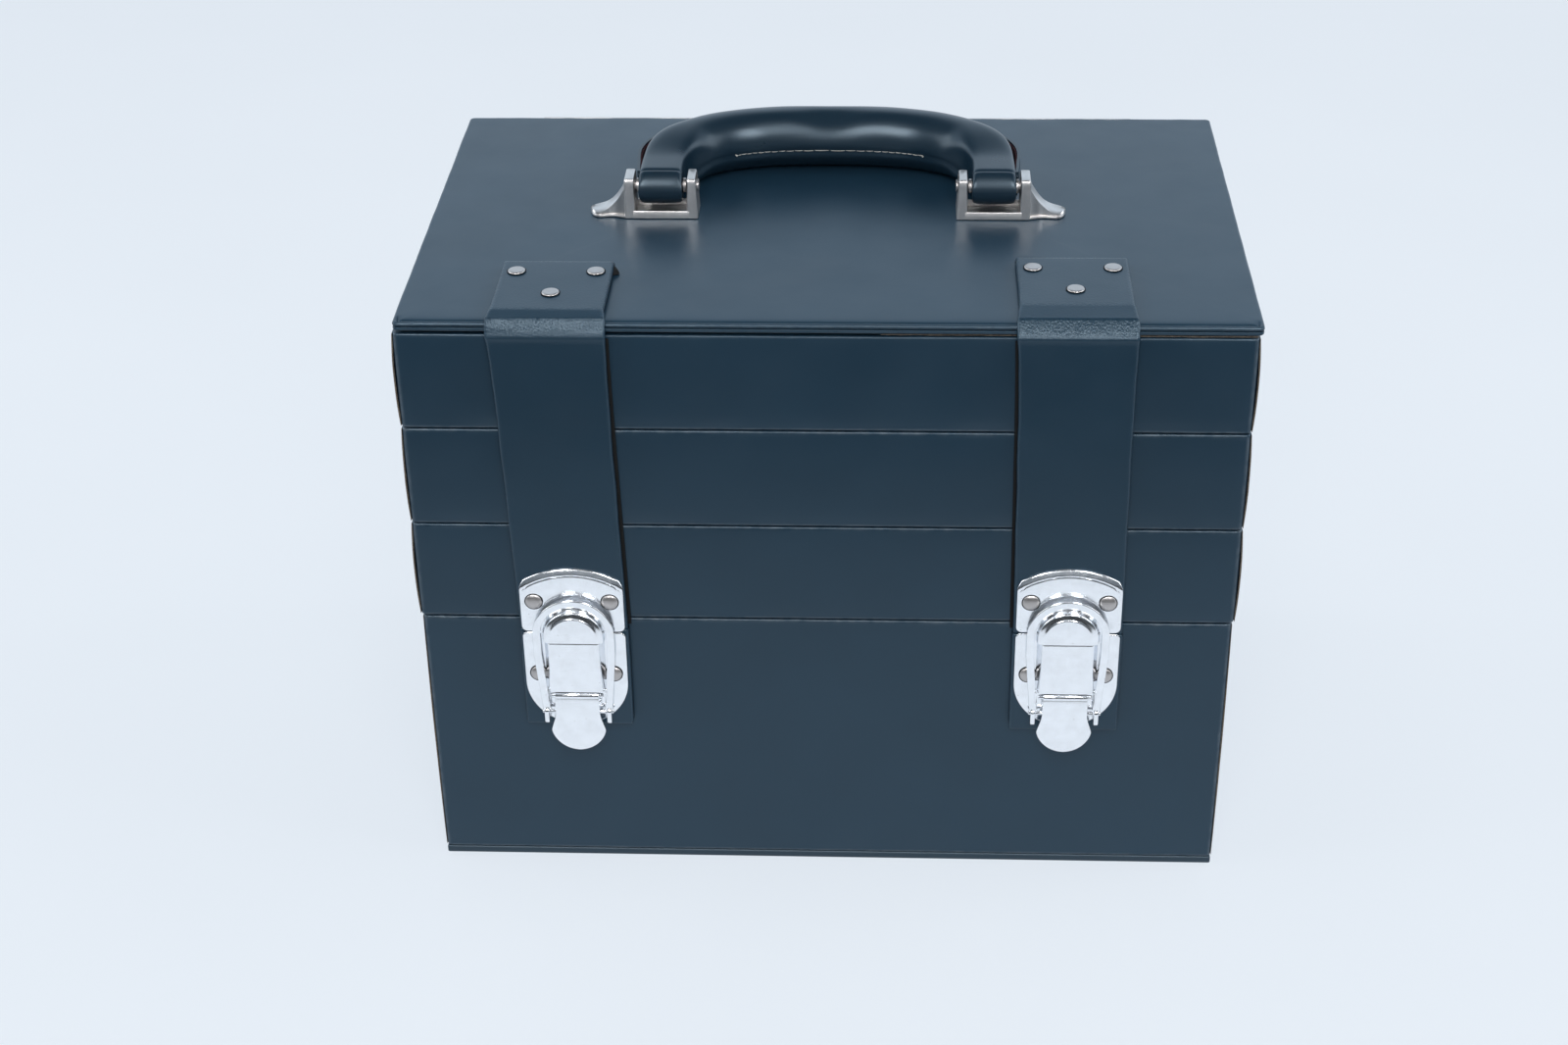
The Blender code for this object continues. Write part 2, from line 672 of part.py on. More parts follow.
def make_pad(side):
    latch_x = STRAPS[side]["latch_x"]
    return box(
        f"pad_{side}",
        (latch_x - PAD_WIDTH / 2, STRAP_OUTER_Y, PAD_BOTTOM),
        (latch_x + PAD_WIDTH / 2, FRONT - GAP, PAD_TOP),
        parts, leatherette,
    )


def make_lever(side):
    """The duckbill lever: a flared tongue, the barrel it turns on and the bail's cross pin."""
    latch_x, latch_z = STRAPS[side]["latch_x"], STRAPS[side]["latch_z"]
    pivot_y = FRONT - LEVER_PIVOT_OUT
    pivot_z = latch_z + LEVER_PIVOT_Z
    cross_z = latch_z + BAIL_PIVOT_Z
    front = pivot_y - LEVER_BARREL_RADIUS
    drop = LEVER_FLARE_Z - LEVER_BOTTOM
    tip_radius = (LEVER_FLARE_HALF_WIDTH**2 + drop**2) / (2 * drop)
    sweep = math.degrees(math.asin(LEVER_FLARE_HALF_WIDTH / tip_radius))
    half = [(LEVER_HALF_WIDTH, LEVER_PIVOT_Z), (LEVER_HALF_WIDTH, LEVER_WAIST_Z)]
    half.append((LEVER_MIDDLE_HALF_WIDTH, LEVER_MIDDLE_Z))
    half += arc(0, LEVER_BOTTOM + tip_radius, tip_radius, sweep - 90, -90, 8)
    place = Matrix.Translation((latch_x, front + SHEET / 2, latch_z)) @ FRONT_VIEW
    lever = outline_solid(f"lever_{side}", mirrored(half), SHEET, place, parts, chrome)
    barrel = rod(
        f"lever_{side}_barrel", (latch_x, pivot_y, pivot_z), "X", LEVER_BARREL_RADIUS,
        2 * LEVER_HALF_WIDTH, cutters, sides=20,
    )
    bore = rod(
        f"lever_{side}_bore", (latch_x, pivot_y, pivot_z), "X",
        LEVER_PIN_RADIUS + LEVER_BORE_CLEARANCE, 3 * LEVER_HALF_WIDTH, cutters, sides=20,
    )
    cross = rod(
        f"lever_{side}_cross_pin", (latch_x, FRONT - BAIL_PIVOT_OUT, cross_z), "X",
        BAIL_PIN_RADIUS, 2 * BAIL_PIN_HALF_LENGTH, cutters, sides=12,
    )
    web = box(
        f"lever_{side}_web",
        (latch_x - LEVER_HALF_WIDTH, front + SHEET / 2, cross_z - BAIL_PIN_RADIUS / 2),
        (latch_x + LEVER_HALF_WIDTH, FRONT - BAIL_PIVOT_OUT, cross_z + BAIL_PIN_RADIUS / 2),
        cutters,
    )
    combine(lever, barrel, "UNION")
    combine(lever, web, "UNION")
    combine(lever, cross, "UNION")
    combine(lever, bore, "DIFFERENCE")
    attach([lever], joint_empty(f"lever_{side}_axis", (latch_x, pivot_y, pivot_z)))
    return lever


def make_bail(side):
    """The flat wire loop that the lever pulls down over the keeper's boss."""
    latch_x, latch_z = STRAPS[side]["latch_x"], STRAPS[side]["latch_z"]
    pivot_y = FRONT - BAIL_PIVOT_OUT
    pivot_z = latch_z + BAIL_PIVOT_Z
    inner_radius = BAIL_ARCH_RADIUS - BAIL_STRIP
    inner_span = BAIL_LEG_HALF_SPAN - BAIL_STRIP
    outside = [(BAIL_LEG_HALF_SPAN, BAIL_PIVOT_Z), (BAIL_ARCH_RADIUS, BAIL_LEG_TOP)]
    outside += arc(0, BAIL_ARCH_CENTRE, BAIL_ARCH_RADIUS, 0, 180, 20)
    outside += [(-BAIL_ARCH_RADIUS, BAIL_LEG_TOP), (-BAIL_LEG_HALF_SPAN, BAIL_PIVOT_Z)]
    inside = [(-inner_span, BAIL_PIVOT_Z), (-inner_radius, BAIL_LEG_TOP)]
    inside += arc(0, BAIL_ARCH_CENTRE, inner_radius, 180, 0, 20)
    inside += [(inner_radius, BAIL_LEG_TOP), (inner_span, BAIL_PIVOT_Z)]
    place = Matrix.Translation((latch_x, pivot_y, latch_z)) @ FRONT_VIEW
    bail = outline_solid(f"bail_{side}", outside + inside, BAIL_THICKNESS, place, parts, chrome)
    for end in (-1, 1):
        middle = (latch_x + end * (BAIL_LEG_HALF_SPAN - BAIL_STRIP / 2), pivot_y, pivot_z)
        outline = arc(0, 0, BAIL_TAB_RADIUS, 0, 180, 8)
        outline += arc(0, -BAIL_TAB_DROP, BAIL_TAB_RADIUS, 180, 360, 8)
        tab = outline_solid(
            f"bail_{side}_tab_{end}", outline, BAIL_TAB_THICKNESS,
            Matrix.Translation(middle) @ SIDE_VIEW, cutters,
        )
        combine(bail, tab, "UNION")
    bore = rod(
        f"bail_{side}_bore", (latch_x, pivot_y, pivot_z), "X",
        BAIL_PIN_RADIUS + HOLE_CLEARANCE, 3 * BAIL_LEG_HALF_SPAN, cutters, sides=16,
    )
    combine(bail, bore, "DIFFERENCE")
    attach([bail], joint_empty(f"bail_{side}_axis", (latch_x, pivot_y, pivot_z)))
    return bail


def make_lid():
    half = LID_WIDTH / 2
    bottom = SEAMS[0] + GAP
    return box(
        "lid_board",
        (LID_SHIFT - half, FRONT - LID_FRONT_OVERHANG, bottom),
        (LID_SHIFT + half, REAR, LID_TOP),
        parts, leatherette, CORNER_RADIUS,
    )


def make_lid_lining():
    half_width = INNER_HALF_WIDTH - LINING_CLEARANCE
    half_depth = INNER_HALF_DEPTH - LINING_CLEARANCE
    return box(
        "lid_lining",
        (-half_width, -half_depth, SEAMS[0] - LINING_THICKNESS),
        (half_width, half_depth, SEAMS[0]),
        parts, lining,
    )


def make_hinge_leaf(owner):
    """One leaf of the strip hinge, with its share of the knuckles."""
    sign = -1 if owner == "tray" else 1
    near = HINGE_Z + sign * HINGE_LEAF_START
    far = HINGE_Z + sign * HINGE_LEAF_HEIGHTS[owner]
    back = REAR + GAP
    leaf = box(
        f"hinge_leaf_{owner}",
        (-HINGE_HALF_LENGTH, back, min(near, far)),
        (HINGE_HALF_LENGTH, back + HINGE_LEAF_THICKNESS, max(near, far)),
        parts, nickel,
    )
    pitch = 2 * HINGE_HALF_LENGTH / HINGE_KNUCKLES
    first = 0 if owner == "tray" else 1
    for index in range(first, HINGE_KNUCKLES, 2):
        middle = -HINGE_HALF_LENGTH + (index + 0.5) * pitch
        half = pitch / 2 - 0.5 * GAP
        tab = box(
            f"hinge_{owner}_tab_{index}",
            (middle - half, back, min(HINGE_Z, near + sign * SHEET)),
            (middle + half, back + HINGE_LEAF_THICKNESS, max(HINGE_Z, near + sign * SHEET)),
            cutters,
        )
        knuckle = rod(
            f"hinge_{owner}_knuckle_{index}", (middle, HINGE_Y, HINGE_Z), "X",
            HINGE_KNUCKLE_RADIUS, 2 * half, cutters, sides=16,
        )
        combine(leaf, tab, "UNION")
        combine(leaf, knuckle, "UNION")
    bore = rod(
        f"hinge_{owner}_bore", (0, HINGE_Y, HINGE_Z), "X", HINGE_PIN_RADIUS + GAP,
        3 * HINGE_HALF_LENGTH, cutters, sides=16,
    )
    combine(leaf, bore, "DIFFERENCE")
    return leaf


def make_bracket(side):
    """A handle bracket: two cheeks on a floor, with the outer one swept down into a foot."""
    sign = -1 if side == "left" else 1
    base_z = LID_TOP + GAP
    top_z = base_z + BRACKET_HEIGHT
    floor_z = base_z + BRACKET_FLOOR
    foot_z = base_z + BRACKET_FOOT_HEIGHT
    outer_in, outer_out = BRACKET_OUTER_CHEEK
    inner_in, inner_out = BRACKET_INNER_CHEEK
    sweep = []
    for step in range(1, BRACKET_SWEEP_STEPS + 1):
        share = step / BRACKET_SWEEP_STEPS
        x = outer_out + (BRACKET_TIP - outer_out) * share**BRACKET_SWEEP_OUT
        z = top_z + (foot_z - top_z) * (1 - (1 - share) ** BRACKET_SWEEP_DOWN)
        sweep.append((x, z))
    points = [(inner_in, base_z), (inner_in + BRACKET_TAPER, top_z), (inner_out, top_z)]
    points += [(inner_out, floor_z), (outer_in, floor_z), (outer_in, top_z), (outer_out, top_z)]
    points += sweep + [(BRACKET_TIP, base_z)]
    place = Matrix.Translation((HANDLE_X, HANDLE_Y, 0)) @ FRONT_VIEW
    bracket = outline_solid(
        f"handle_bracket_{side}", [(sign * x, z) for x, z in points], 2 * BRACKET_HALF_DEPTH,
        place, parts, nickel,
    )
    centre = HANDLE_X + sign * (inner_in + outer_out) / 2
    pin_place = (centre, HANDLE_Y, LID_TOP + HANDLE_PIN_HEIGHT)
    length = outer_out - inner_in - 2 * PIN_SETBACK
    bore = rod(
        f"handle_bracket_{side}_bore", pin_place, "X", HANDLE_PIN_RADIUS + HOLE_CLEARANCE,
        2 * length, cutters,
    )
    combine(bracket, bore, "DIFFERENCE")
    pin = rod(f"handle_pin_{side}", pin_place, "X", HANDLE_PIN_RADIUS, length, parts, rivet_metal)
    return bracket, pin


def make_grip():
    """The padded leather grip: a squarish arch whose two ends loop round the pins."""
    pin_z = LID_TOP + HANDLE_PIN_HEIGHT
    points = []
    for step in range(GRIP_STEPS + 1):
        angle = math.pi * step / GRIP_STEPS
        across = abs(math.cos(angle)) ** (2 / GRIP_SQUARENESS)
        along = abs(math.sin(angle)) ** (2 / GRIP_SQUARENESS)
        x = math.copysign(GRIP_HALF_SPAN * across, math.cos(angle))
        points.append((x, GRIP_START + (GRIP_REACH - GRIP_START) * along, 0.0))
    place = Matrix.Translation((HANDLE_X, HANDLE_Y, pin_z))
    points = [point for point in points if point[1] > GRIP_BEND_START]
    points = [(GRIP_HALF_SPAN, GRIP_END, 0.0)] + points + [(-GRIP_HALF_SPAN, GRIP_END, 0.0)]
    grip = tube_solid("handle_grip", points, GRIP_RADIUS, place, parts, grip_leather)
    for side, sign in (("left", -1), ("right", 1)):
        outline = arc(0, 0, SLEEVE_HALF_THICKNESS, 90, 270, 8)
        outline += [(SLEEVE_LENGTH, -SLEEVE_HALF_THICKNESS), (SLEEVE_LENGTH, SLEEVE_HALF_THICKNESS)]
        centre = Matrix.Translation((HANDLE_X + sign * GRIP_HALF_SPAN, HANDLE_Y, pin_z))
        sleeve = outline_solid(
            f"handle_sleeve_{side}", outline, 2 * SLEEVE_HALF_WIDTH, centre @ SIDE_VIEW, cutters
        )
        combine(grip, sleeve, "UNION")
    bore = rod(
        "handle_grip_bore", (HANDLE_X, HANDLE_Y, pin_z), "X", HANDLE_PIN_RADIUS + HOLE_CLEARANCE,
        3 * GRIP_HALF_SPAN, cutters,
    )
    combine(grip, bore, "DIFFERENCE")
    attach([grip], joint_empty("handle_axis", (HANDLE_X, HANDLE_Y, pin_z)))
    return grip


clear_scene()
parts = new_collection("sewing_box")
cutters = new_collection("cutters")

leatherette = material("navy_leatherette", (0.030, 0.055, 0.080), 0.45)
grip_leather = material("grip_leather", (0.015, 0.028, 0.042), 0.3)
board = material("base_board_leatherette", (0.028, 0.05, 0.07), 0.6)
lining = material("lining", (0.33, 0.33, 0.35), 0.9)
chrome = material("chrome", (0.85, 0.87, 0.9), 0.12, 1.0)
nickel = material("nickel", (0.62, 0.6, 0.58), 0.3, 1.0)
rivet_metal = material("rivet_nickel", (0.66, 0.63, 0.6), 0.35, 1.0)

base_case = make_base()
trays = {number: make_tray(number) for number in (3, 2, 1)}
make_arms()
lid = make_lid()
lid_pieces = [lid, make_lid_lining()]
for strap_side in STRAPS:
    hanging = make_strap(strap_side)
    lid_pieces += [hanging, make_keeper(strap_side, hanging)]
    make_latch_plate(strap_side, make_pad(strap_side))
    make_lever(strap_side)
    make_bail(strap_side)
    lid_pieces += make_bracket(strap_side)
make_grip()
make_hinge_leaf("tray")
lid_pieces.append(make_hinge_leaf("lid"))
rod(
    "hinge_pin", (0, HINGE_Y, HINGE_Z), "X", HINGE_PIN_RADIUS, 2 * HINGE_HALF_LENGTH, parts,
    nickel, sides=12,
)
attach(lid_pieces, joint_empty("lid_axis", (0, HINGE_Y, HINGE_Z)))
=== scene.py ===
"""Looks for the sewing box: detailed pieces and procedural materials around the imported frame.

Shapes are worked out in millimetres, in the frame's own axes, and turned into metres as meshes are made.
"""

import json
import math

import bmesh
import bpy
from mathutils import Matrix, Vector, noise


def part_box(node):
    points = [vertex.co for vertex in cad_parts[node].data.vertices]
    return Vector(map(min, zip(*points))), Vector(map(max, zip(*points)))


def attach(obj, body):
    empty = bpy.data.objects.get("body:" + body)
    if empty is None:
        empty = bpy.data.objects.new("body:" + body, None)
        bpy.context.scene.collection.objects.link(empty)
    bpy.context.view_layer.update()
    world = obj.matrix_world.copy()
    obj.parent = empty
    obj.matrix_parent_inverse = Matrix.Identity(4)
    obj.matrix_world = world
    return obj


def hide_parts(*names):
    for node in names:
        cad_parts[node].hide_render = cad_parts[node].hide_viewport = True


MM = 0.001
SIDES = ("left", "right")

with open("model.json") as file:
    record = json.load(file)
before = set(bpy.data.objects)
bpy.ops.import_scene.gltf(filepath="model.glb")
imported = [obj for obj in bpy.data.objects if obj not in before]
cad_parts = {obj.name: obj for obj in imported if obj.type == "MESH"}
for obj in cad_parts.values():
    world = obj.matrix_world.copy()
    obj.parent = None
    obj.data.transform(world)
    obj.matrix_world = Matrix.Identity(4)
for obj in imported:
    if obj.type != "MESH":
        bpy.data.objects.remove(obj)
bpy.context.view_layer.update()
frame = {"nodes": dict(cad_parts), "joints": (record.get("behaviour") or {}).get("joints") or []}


def set_socket(tree, socket, value):
    """Give a shader socket a link or a value."""
    if isinstance(value, bpy.types.NodeSocket):
        tree.links.new(value, socket)
    else:
        socket.default_value = value


def feed(tree, node, **inputs):
    """Set a node's inputs by their names, with _ for a space."""
    for name, value in inputs.items():
        set_socket(tree, node.inputs[name.replace("_", " ")], value)


# ---------------------------------------------------------------- materials


def add_node(tree, kind, **inputs):
    node = tree.nodes.new(kind)
    feed(tree, node, **inputs)
    return node


def start_material(name, colour, roughness, metallic=0.0):
    """A material, its tree, its Principled shader and the object's own coordinates."""
    made = bpy.data.materials.new(name)
    made.use_nodes = True
    tree = made.node_tree
    shader = tree.nodes["Principled BSDF"]
    look = {"Base_Color": (*colour, 1.0), "Roughness": roughness, "Metallic": metallic}
    feed(tree, shader, Specular_IOR_Level=0.48, **look)
    place = tree.nodes.new("ShaderNodeTexCoord").outputs["Object"]
    return made, tree, shader, place


def noise_value(tree, place, scale, detail, stretch=None):
    if stretch is not None:
        place = add_node(tree, "ShaderNodeMapping", Vector=place, Scale=stretch).outputs["Vector"]
    return add_node(tree, "ShaderNodeTexNoise", Vector=place, Scale=scale, Detail=detail).outputs["Fac"]


def remap(tree, value, low, high, start=0.0, end=1.0):
    limits = {"From_Min": low, "From_Max": high, "To_Min": start, "To_Max": end}
    return add_node(tree, "ShaderNodeMapRange", Value=value, **limits).outputs["Result"]


def mix_colour(tree, share, first, second):
    node = tree.nodes.new("ShaderNodeMix")
    node.data_type = "RGBA"
    colours = [(*c, 1.0) if isinstance(c, tuple) else c for c in (first, second)]
    for index, value in zip((0, 6, 7), (share, *colours)):
        set_socket(tree, node.inputs[index], value)
    return node.outputs[2]


def calculate(tree, operation, first, second=0.0):
    node = tree.nodes.new("ShaderNodeMath")
    node.operation = operation
    set_socket(tree, node.inputs[0], first)
    set_socket(tree, node.inputs[1], second)
    return node.outputs[0]


def bump(tree, height, depth, strength=1.0, below=None):
    """Relief of a depth in metres, laid over another relief if one is given."""
    node = add_node(tree, "ShaderNodeBump", Height=height, Strength=strength, Distance=depth)
    if below is not None:
        feed(tree, node, Normal=below)
    return node.outputs["Normal"]


def specks(tree, place, spacing, size, share):
    """Sparse dots: their spacing and size in metres, and the share of cells that hold one."""
    cells = add_node(tree, "ShaderNodeTexVoronoi", Vector=place, Scale=1.0 / spacing)
    near = remap(tree, cells.outputs["Distance"], 0.5 * size / spacing, 0.3 * size / spacing)
    pick = add_node(tree, "ShaderNodeSeparateColor", Color=cells.outputs["Color"])
    chosen = calculate(tree, "LESS_THAN", pick.outputs[0], share)
    return calculate(tree, "MULTIPLY", near, chosen)


def shaded(colour, factor):
    return tuple(factor * c for c in colour)


def leather(name, colour, worn, roughness, grain, grain_depth, dust=0.02):
    """Coated leather or leatherette with a pebble grain, soft dents, worn edges and a little lint."""
    made, tree, shader, place = start_material(name, colour, roughness)
    tone = remap(tree, noise_value(tree, place, 22.0, 4.0), 0.3, 0.7)
    base = mix_colour(tree, tone, shaded(colour, 0.95), shaded(colour, 1.07))
    wear = tree.nodes.new("ShaderNodeAttribute")
    wear.attribute_name = "wear"
    patchy = remap(tree, noise_value(tree, place, 260.0, 3.0), 0.35, 0.75)
    base = mix_colour(tree, calculate(tree, "MULTIPLY", wear.outputs["Fac"], patchy), base, worn)
    base = mix_colour(tree, specks(tree, place, 0.017, 0.0006, dust), base, LINT)
    rough = remap(tree, noise_value(tree, place, 60.0, 5.0), 0.3, 0.7, roughness - 0.02, roughness + 0.03)
    pebbles = add_node(tree, "ShaderNodeTexVoronoi", Vector=place, Scale=1.0 / grain)
    pebbles.feature = "SMOOTH_F1"
    strength = remap(tree, wear.outputs["Fac"], 0.0, 0.6, 0.12, 1.0)
    relief = bump(tree, noise_value(tree, place, 42.0, 2.0), 0.00012)
    relief = bump(tree, pebbles.outputs["Distance"], grain_depth, strength, relief)
    relief = bump(tree, noise_value(tree, place, 2.6 / grain, 3.0), 0.6 * grain_depth, strength, relief)
    feed(tree, shader, Specular_Tint=COOL_TINT, Base_Color=base, Roughness=rough, Normal=relief)
    return made


def plated(name, colour, roughness, scratch, pits):
    """Plated metal with hairline scratches, soft dents and a few dark pits."""
    made, tree, shader, place = start_material(name, colour, roughness, 1.0)
    tone = remap(tree, noise_value(tree, place, 240.0, 3.0), 0.35, 0.75)
    base = mix_colour(tree, tone, colour, shaded(colour, 0.93))
    base = mix_colour(tree, specks(tree, place, 0.0021, 0.00032, pits), base, PIT_DIRT)
    along = noise_value(tree, place, 1.0, 2.0, (260.0, 260.0, 5200.0))
    across = noise_value(tree, place, 1.0, 2.0, (4200.0, 300.0, 240.0))
    lines = calculate(tree, "MULTIPLY", along, across)
    rough = remap(tree, lines, 0.1, 0.45, roughness - 0.03, roughness + 0.1)
    relief = bump(tree, lines, 0.000004 * scratch)
    relief = bump(tree, noise_value(tree, place, 170.0, 1.0), 0.000012 * scratch, 1.0, relief)
    feed(tree, shader, Base_Color=base, Roughness=rough, Normal=relief)
    return made


def woven(name, colour, other, pitch):
    """Plain woven cloth with a soft nap."""
    made, tree, shader, place = start_material(name, colour, 0.92)
    turned = add_node(tree, "ShaderNodeMapping", Vector=place, Scale=(1.0 / pitch,) * 3)
    parts = add_node(tree, "ShaderNodeSeparateXYZ", Vector=turned.outputs["Vector"])
    upright = calculate(tree, "ADD", parts.outputs["Y"], parts.outputs["Z"])
    weft = calculate(tree, "SINE", calculate(tree, "MULTIPLY", parts.outputs["X"], math.pi))
    warp = calculate(tree, "SINE", calculate(tree, "MULTIPLY", upright, math.pi))
    threads = calculate(tree, "MULTIPLY", weft, warp)
    slub = noise_value(tree, place, 300.0, 3.0)
    base = mix_colour(tree, remap(tree, threads, -1.0, 1.0), colour, other)
    base = mix_colour(tree, remap(tree, slub, 0.4, 0.8, 0.0, 0.5), base, shaded(colour, 0.7))
    relief = bump(tree, slub, 0.0002, 0.5, bump(tree, threads, 0.00012))
    feed(tree, shader, Base_Color=base, Normal=relief, Sheen_Weight=0.25, Sheen_Roughness=0.5)
    return made


def fibrous(name, colour, other, roughness=0.9):
    """Raw board, cloth backing or thread."""
    made, tree, shader, place = start_material(name, colour, roughness)
    fibre = noise_value(tree, place, 1.0, 4.0, (900.0, 900.0, 2400.0))
    base = mix_colour(tree, remap(tree, fibre, 0.3, 0.7), colour, other)
    feed(tree, shader, Base_Color=base, Normal=bump(tree, fibre, 0.0001), Specular_IOR_Level=0.2)
    return made


LINT = (0.5, 0.52, 0.54)
PIT_DIRT = (0.12, 0.12, 0.13)
COOL_TINT = (0.76, 0.92, 1.04, 1.0)
NAVY = (0.0103, 0.0325, 0.0565)
LEATHERETTE = leather("navy_leatherette", NAVY, (0.10, 0.125, 0.15), 0.32, 0.00062, 0.00005)
STRAP = leather("strap_leatherette", (0.0098, 0.0315, 0.0545), (0.055, 0.09, 0.12), 0.31, 0.0008, 0.0002)
BOARD_WRAP = leather("base_board_leatherette", (0.016, 0.033, 0.05), (0.06, 0.08, 0.1), 0.5, 0.0006, 0.00005)
GRIP = leather("grip_leather", (0.0072, 0.0205, 0.035), (0.03, 0.05, 0.07), 0.29, 0.0006, 0.000008, 0.0)
CHROME = plated("chrome", (0.93, 0.95, 0.98), 0.15, 0.6, 0.3)
NICKEL = plated("nickel", (0.60, 0.58, 0.57), 0.31, 0.3, 0.03)
RIVET = plated("rivet_nickel", (0.50, 0.475, 0.465), 0.32, 7.0, 0.7)
LINING = woven("lining", (0.27, 0.28, 0.31), (0.40, 0.41, 0.44), 0.0006)
RAW_EDGE = fibrous("raw_edge", (0.08, 0.062, 0.047), (0.20, 0.165, 0.13))
# Near-black for cut edges, also used as painted shade: beside and along the straps, on the pad sides and
# under the rivet heads.
EDGE_BLACK_AND_PAINTED_SHADE = fibrous("edge_black_and_painted_shade", (0.0015, 0.002, 0.003), (0.004, 0.005, 0.006))
WINE = fibrous("wine_backing", (0.03, 0.006, 0.01), (0.06, 0.012, 0.02))
THREAD = fibrous("thread", (0.34, 0.33, 0.31), (0.55, 0.54, 0.5), 0.7)


# ---------------------------------------------------------------- mesh making


class Shape:
    """Gathers closed surfaces, in millimetres, that become one piece."""

    def __init__(self):
        self.points = []
        self.faces = []
        self.slots = []
        self.wear = []

    def add(self, points, faces, slot=0, wear=None):
        first = len(self.points)
        self.points += [Vector(p) for p in points]
        self.wear += wear if wear is not None else [0.0] * len(points)
        self.faces += [[first + i for i in face] for face in faces]
        self.slots += [slot] * len(faces)
        return self

    def loft(self, rings, slot=0, caps=True, wear=None):
        """Skin closed rings that each have the same number of points."""
        count = len(rings[0])
        faces = []
        for row in range(len(rings) - 1):
            for i in range(count):
                j = (i + 1) % count
                low, high = row * count, (row + 1) * count
                faces.append([low + i, low + j, high + j, high + i])
        if caps:
            faces.append(list(range(count - 1, -1, -1)))
            faces.append([(len(rings) - 1) * count + i for i in range(count)])
        points = [p for ring in rings for p in ring]
        rubbed = None
        if wear is not None:
            rubbed = [w for ring in wear for w in ring]
        return self.add(points, faces, slot, rubbed)

    def torus(self, rings, slot=0, wear=None):
        """Skin rings that run round and meet again."""
        return self.loft(rings + [rings[0]], slot, False, wear + [wear[0]] if wear else None)

    def piece(self, name, body, record_slot, materials, nodes=(), angle=38.0, bevel=0.0):
        """Turn what was gathered into an object that rides on a body and stands for CAD nodes."""
        mesh = bpy.data.meshes.new(name)
        mesh.from_pydata([p * MM for p in self.points], [], self.faces)
        for material in materials:
            mesh.materials.append(material)
        for polygon, slot in zip(mesh.polygons, self.slots):
            polygon.material_index = slot
        attribute = mesh.attributes.new("wear", "FLOAT", "POINT")
        attribute.data.foreach_set("value", self.wear)
        form = bmesh.new()
        form.from_mesh(mesh)
        bmesh.ops.remove_doubles(form, verts=form.verts, dist=0.002 * MM)
        bmesh.ops.recalc_face_normals(form, faces=form.faces)
        form.to_mesh(mesh)
        form.free()
        mesh.shade_smooth()
        mesh.set_sharp_from_angle(angle=math.radians(angle))
        obj = bpy.data.objects.new(name, mesh)
        bpy.context.scene.collection.objects.link(obj)
        if bevel:
            rounded = obj.modifiers.new("Rounded", "BEVEL")
            rounded.width = bevel * MM
            rounded.segments = 3
            rounded.limit_method = "ANGLE"
            rounded.angle_limit = math.radians(30)
            rounded.harden_normals = True
        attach(obj, body)
        if nodes:
            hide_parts(*nodes)
        return obj


def corners(node):
    """A node's lowest and highest corner, in millimetres."""
    low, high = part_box(node)
    return Vector(low) / MM, Vector(high) / MM


def lerp(a, b, share):
    return a + (b - a) * share


def smooth_step(value, start, end):
    share = min(1.0, max(0.0, (value - start) / (end - start)))
    return share * share * (3 - 2 * share)


def wave(x, y, z, size):
    """Smooth noise between about -1 and 1 that changes over a size in millimetres."""
    return noise.noise(Vector((x / size, y / size, z / size)))


def spread(start, end, steps):
    return [lerp(start, end, i / steps) for i in range(steps + 1)]


def divided(count):
    """Angles in radians that divide a whole turn into equal parts."""
    return [math.radians(360.0 * i / count) for i in range(count)]


QUARTER = [math.radians(angle) for angle in (0, 30, 60, 90)]
TUBE_SIDES = 7


def rounded_loop(low, high, radius, steps, corner_steps=4):
    """Points round a rounded rectangle, counter-clockwise from its front left, with outward normals."""
    x0, y0 = low[0], low[1]
    x1, y1 = high[0], high[1]
    sides = (
        ((x0 + radius, y0), (x1 - radius, y0), (0, -1), (x1 - radius, y0 + radius), -90, steps[0]),
        ((x1, y0 + radius), (x1, y1 - radius), (1, 0), (x1 - radius, y1 - radius), 0, steps[1]),
        ((x1 - radius, y1), (x0 + radius, y1), (0, 1), (x0 + radius, y1 - radius), 90, steps[0]),
        ((x0, y1 - radius), (x0, y0 + radius), (-1, 0), (x0 + radius, y0 + radius), 180, steps[1]),
    )
    loop = []
    for start, end, normal, centre, angle, count in sides:
        for share in spread(0.0, 1.0, count):
            loop.append(((lerp(start[0], end[0], share), lerp(start[1], end[1], share)), normal))
        for step in range(1, corner_steps):
            turn = math.radians(angle + 90 * step / corner_steps)
            out = (math.cos(turn), math.sin(turn))
            loop.append(((centre[0] + radius * out[0], centre[1] + radius * out[1]), out))
    return loop


def arc(cx, cy, radius, start, end, steps):
    """Points of an arc, with its angles in degrees."""
    angles = [math.radians(lerp(start, end, i / steps)) for i in range(steps + 1)]
    return [(cx + radius * math.cos(a), cy + radius * math.sin(a)) for a in angles]


def inset(outline, distance):
    """A closed outline moved inwards, for outlines that run counter-clockwise."""
    moved = []
    count = len(outline)
    for i, (x, y) in enumerate(outline):
        before, after = Vector(outline[i - 1]), Vector(outline[(i + 1) % count])
        here = Vector((x, y))
        first = (here - before).normalized()
        second = (after - here).normalized()
        normal = Vector((-first.y - second.y, first.x + second.x))
        normal.normalize()
        stretch = 1.0 / max(0.5, normal.dot(Vector((-first.y, first.x))))
        moved.append(tuple(here + normal * distance * stretch))
    return moved


def sheet(shape, outline, thickness, place, edge):
    """A flat sheet with rounded edges. place turns (across, up, out) into a point."""
    back = [(edge * 0.6 * (1 - math.cos(t)), edge * 0.6 * (1 - math.sin(t))) for t in QUARTER]
    front = [(edge * (1 - math.cos(t)), thickness - edge * (1 - math.sin(t))) for t in QUARTER]
    levels = [(edge * 1.6, 0.0)] + back[::-1] + front + [(edge * 1.8, thickness)]
    rings = [[place(x, y, out) for x, y in inset(outline, distance)] for distance, out in levels]
    return shape.loft(rings)


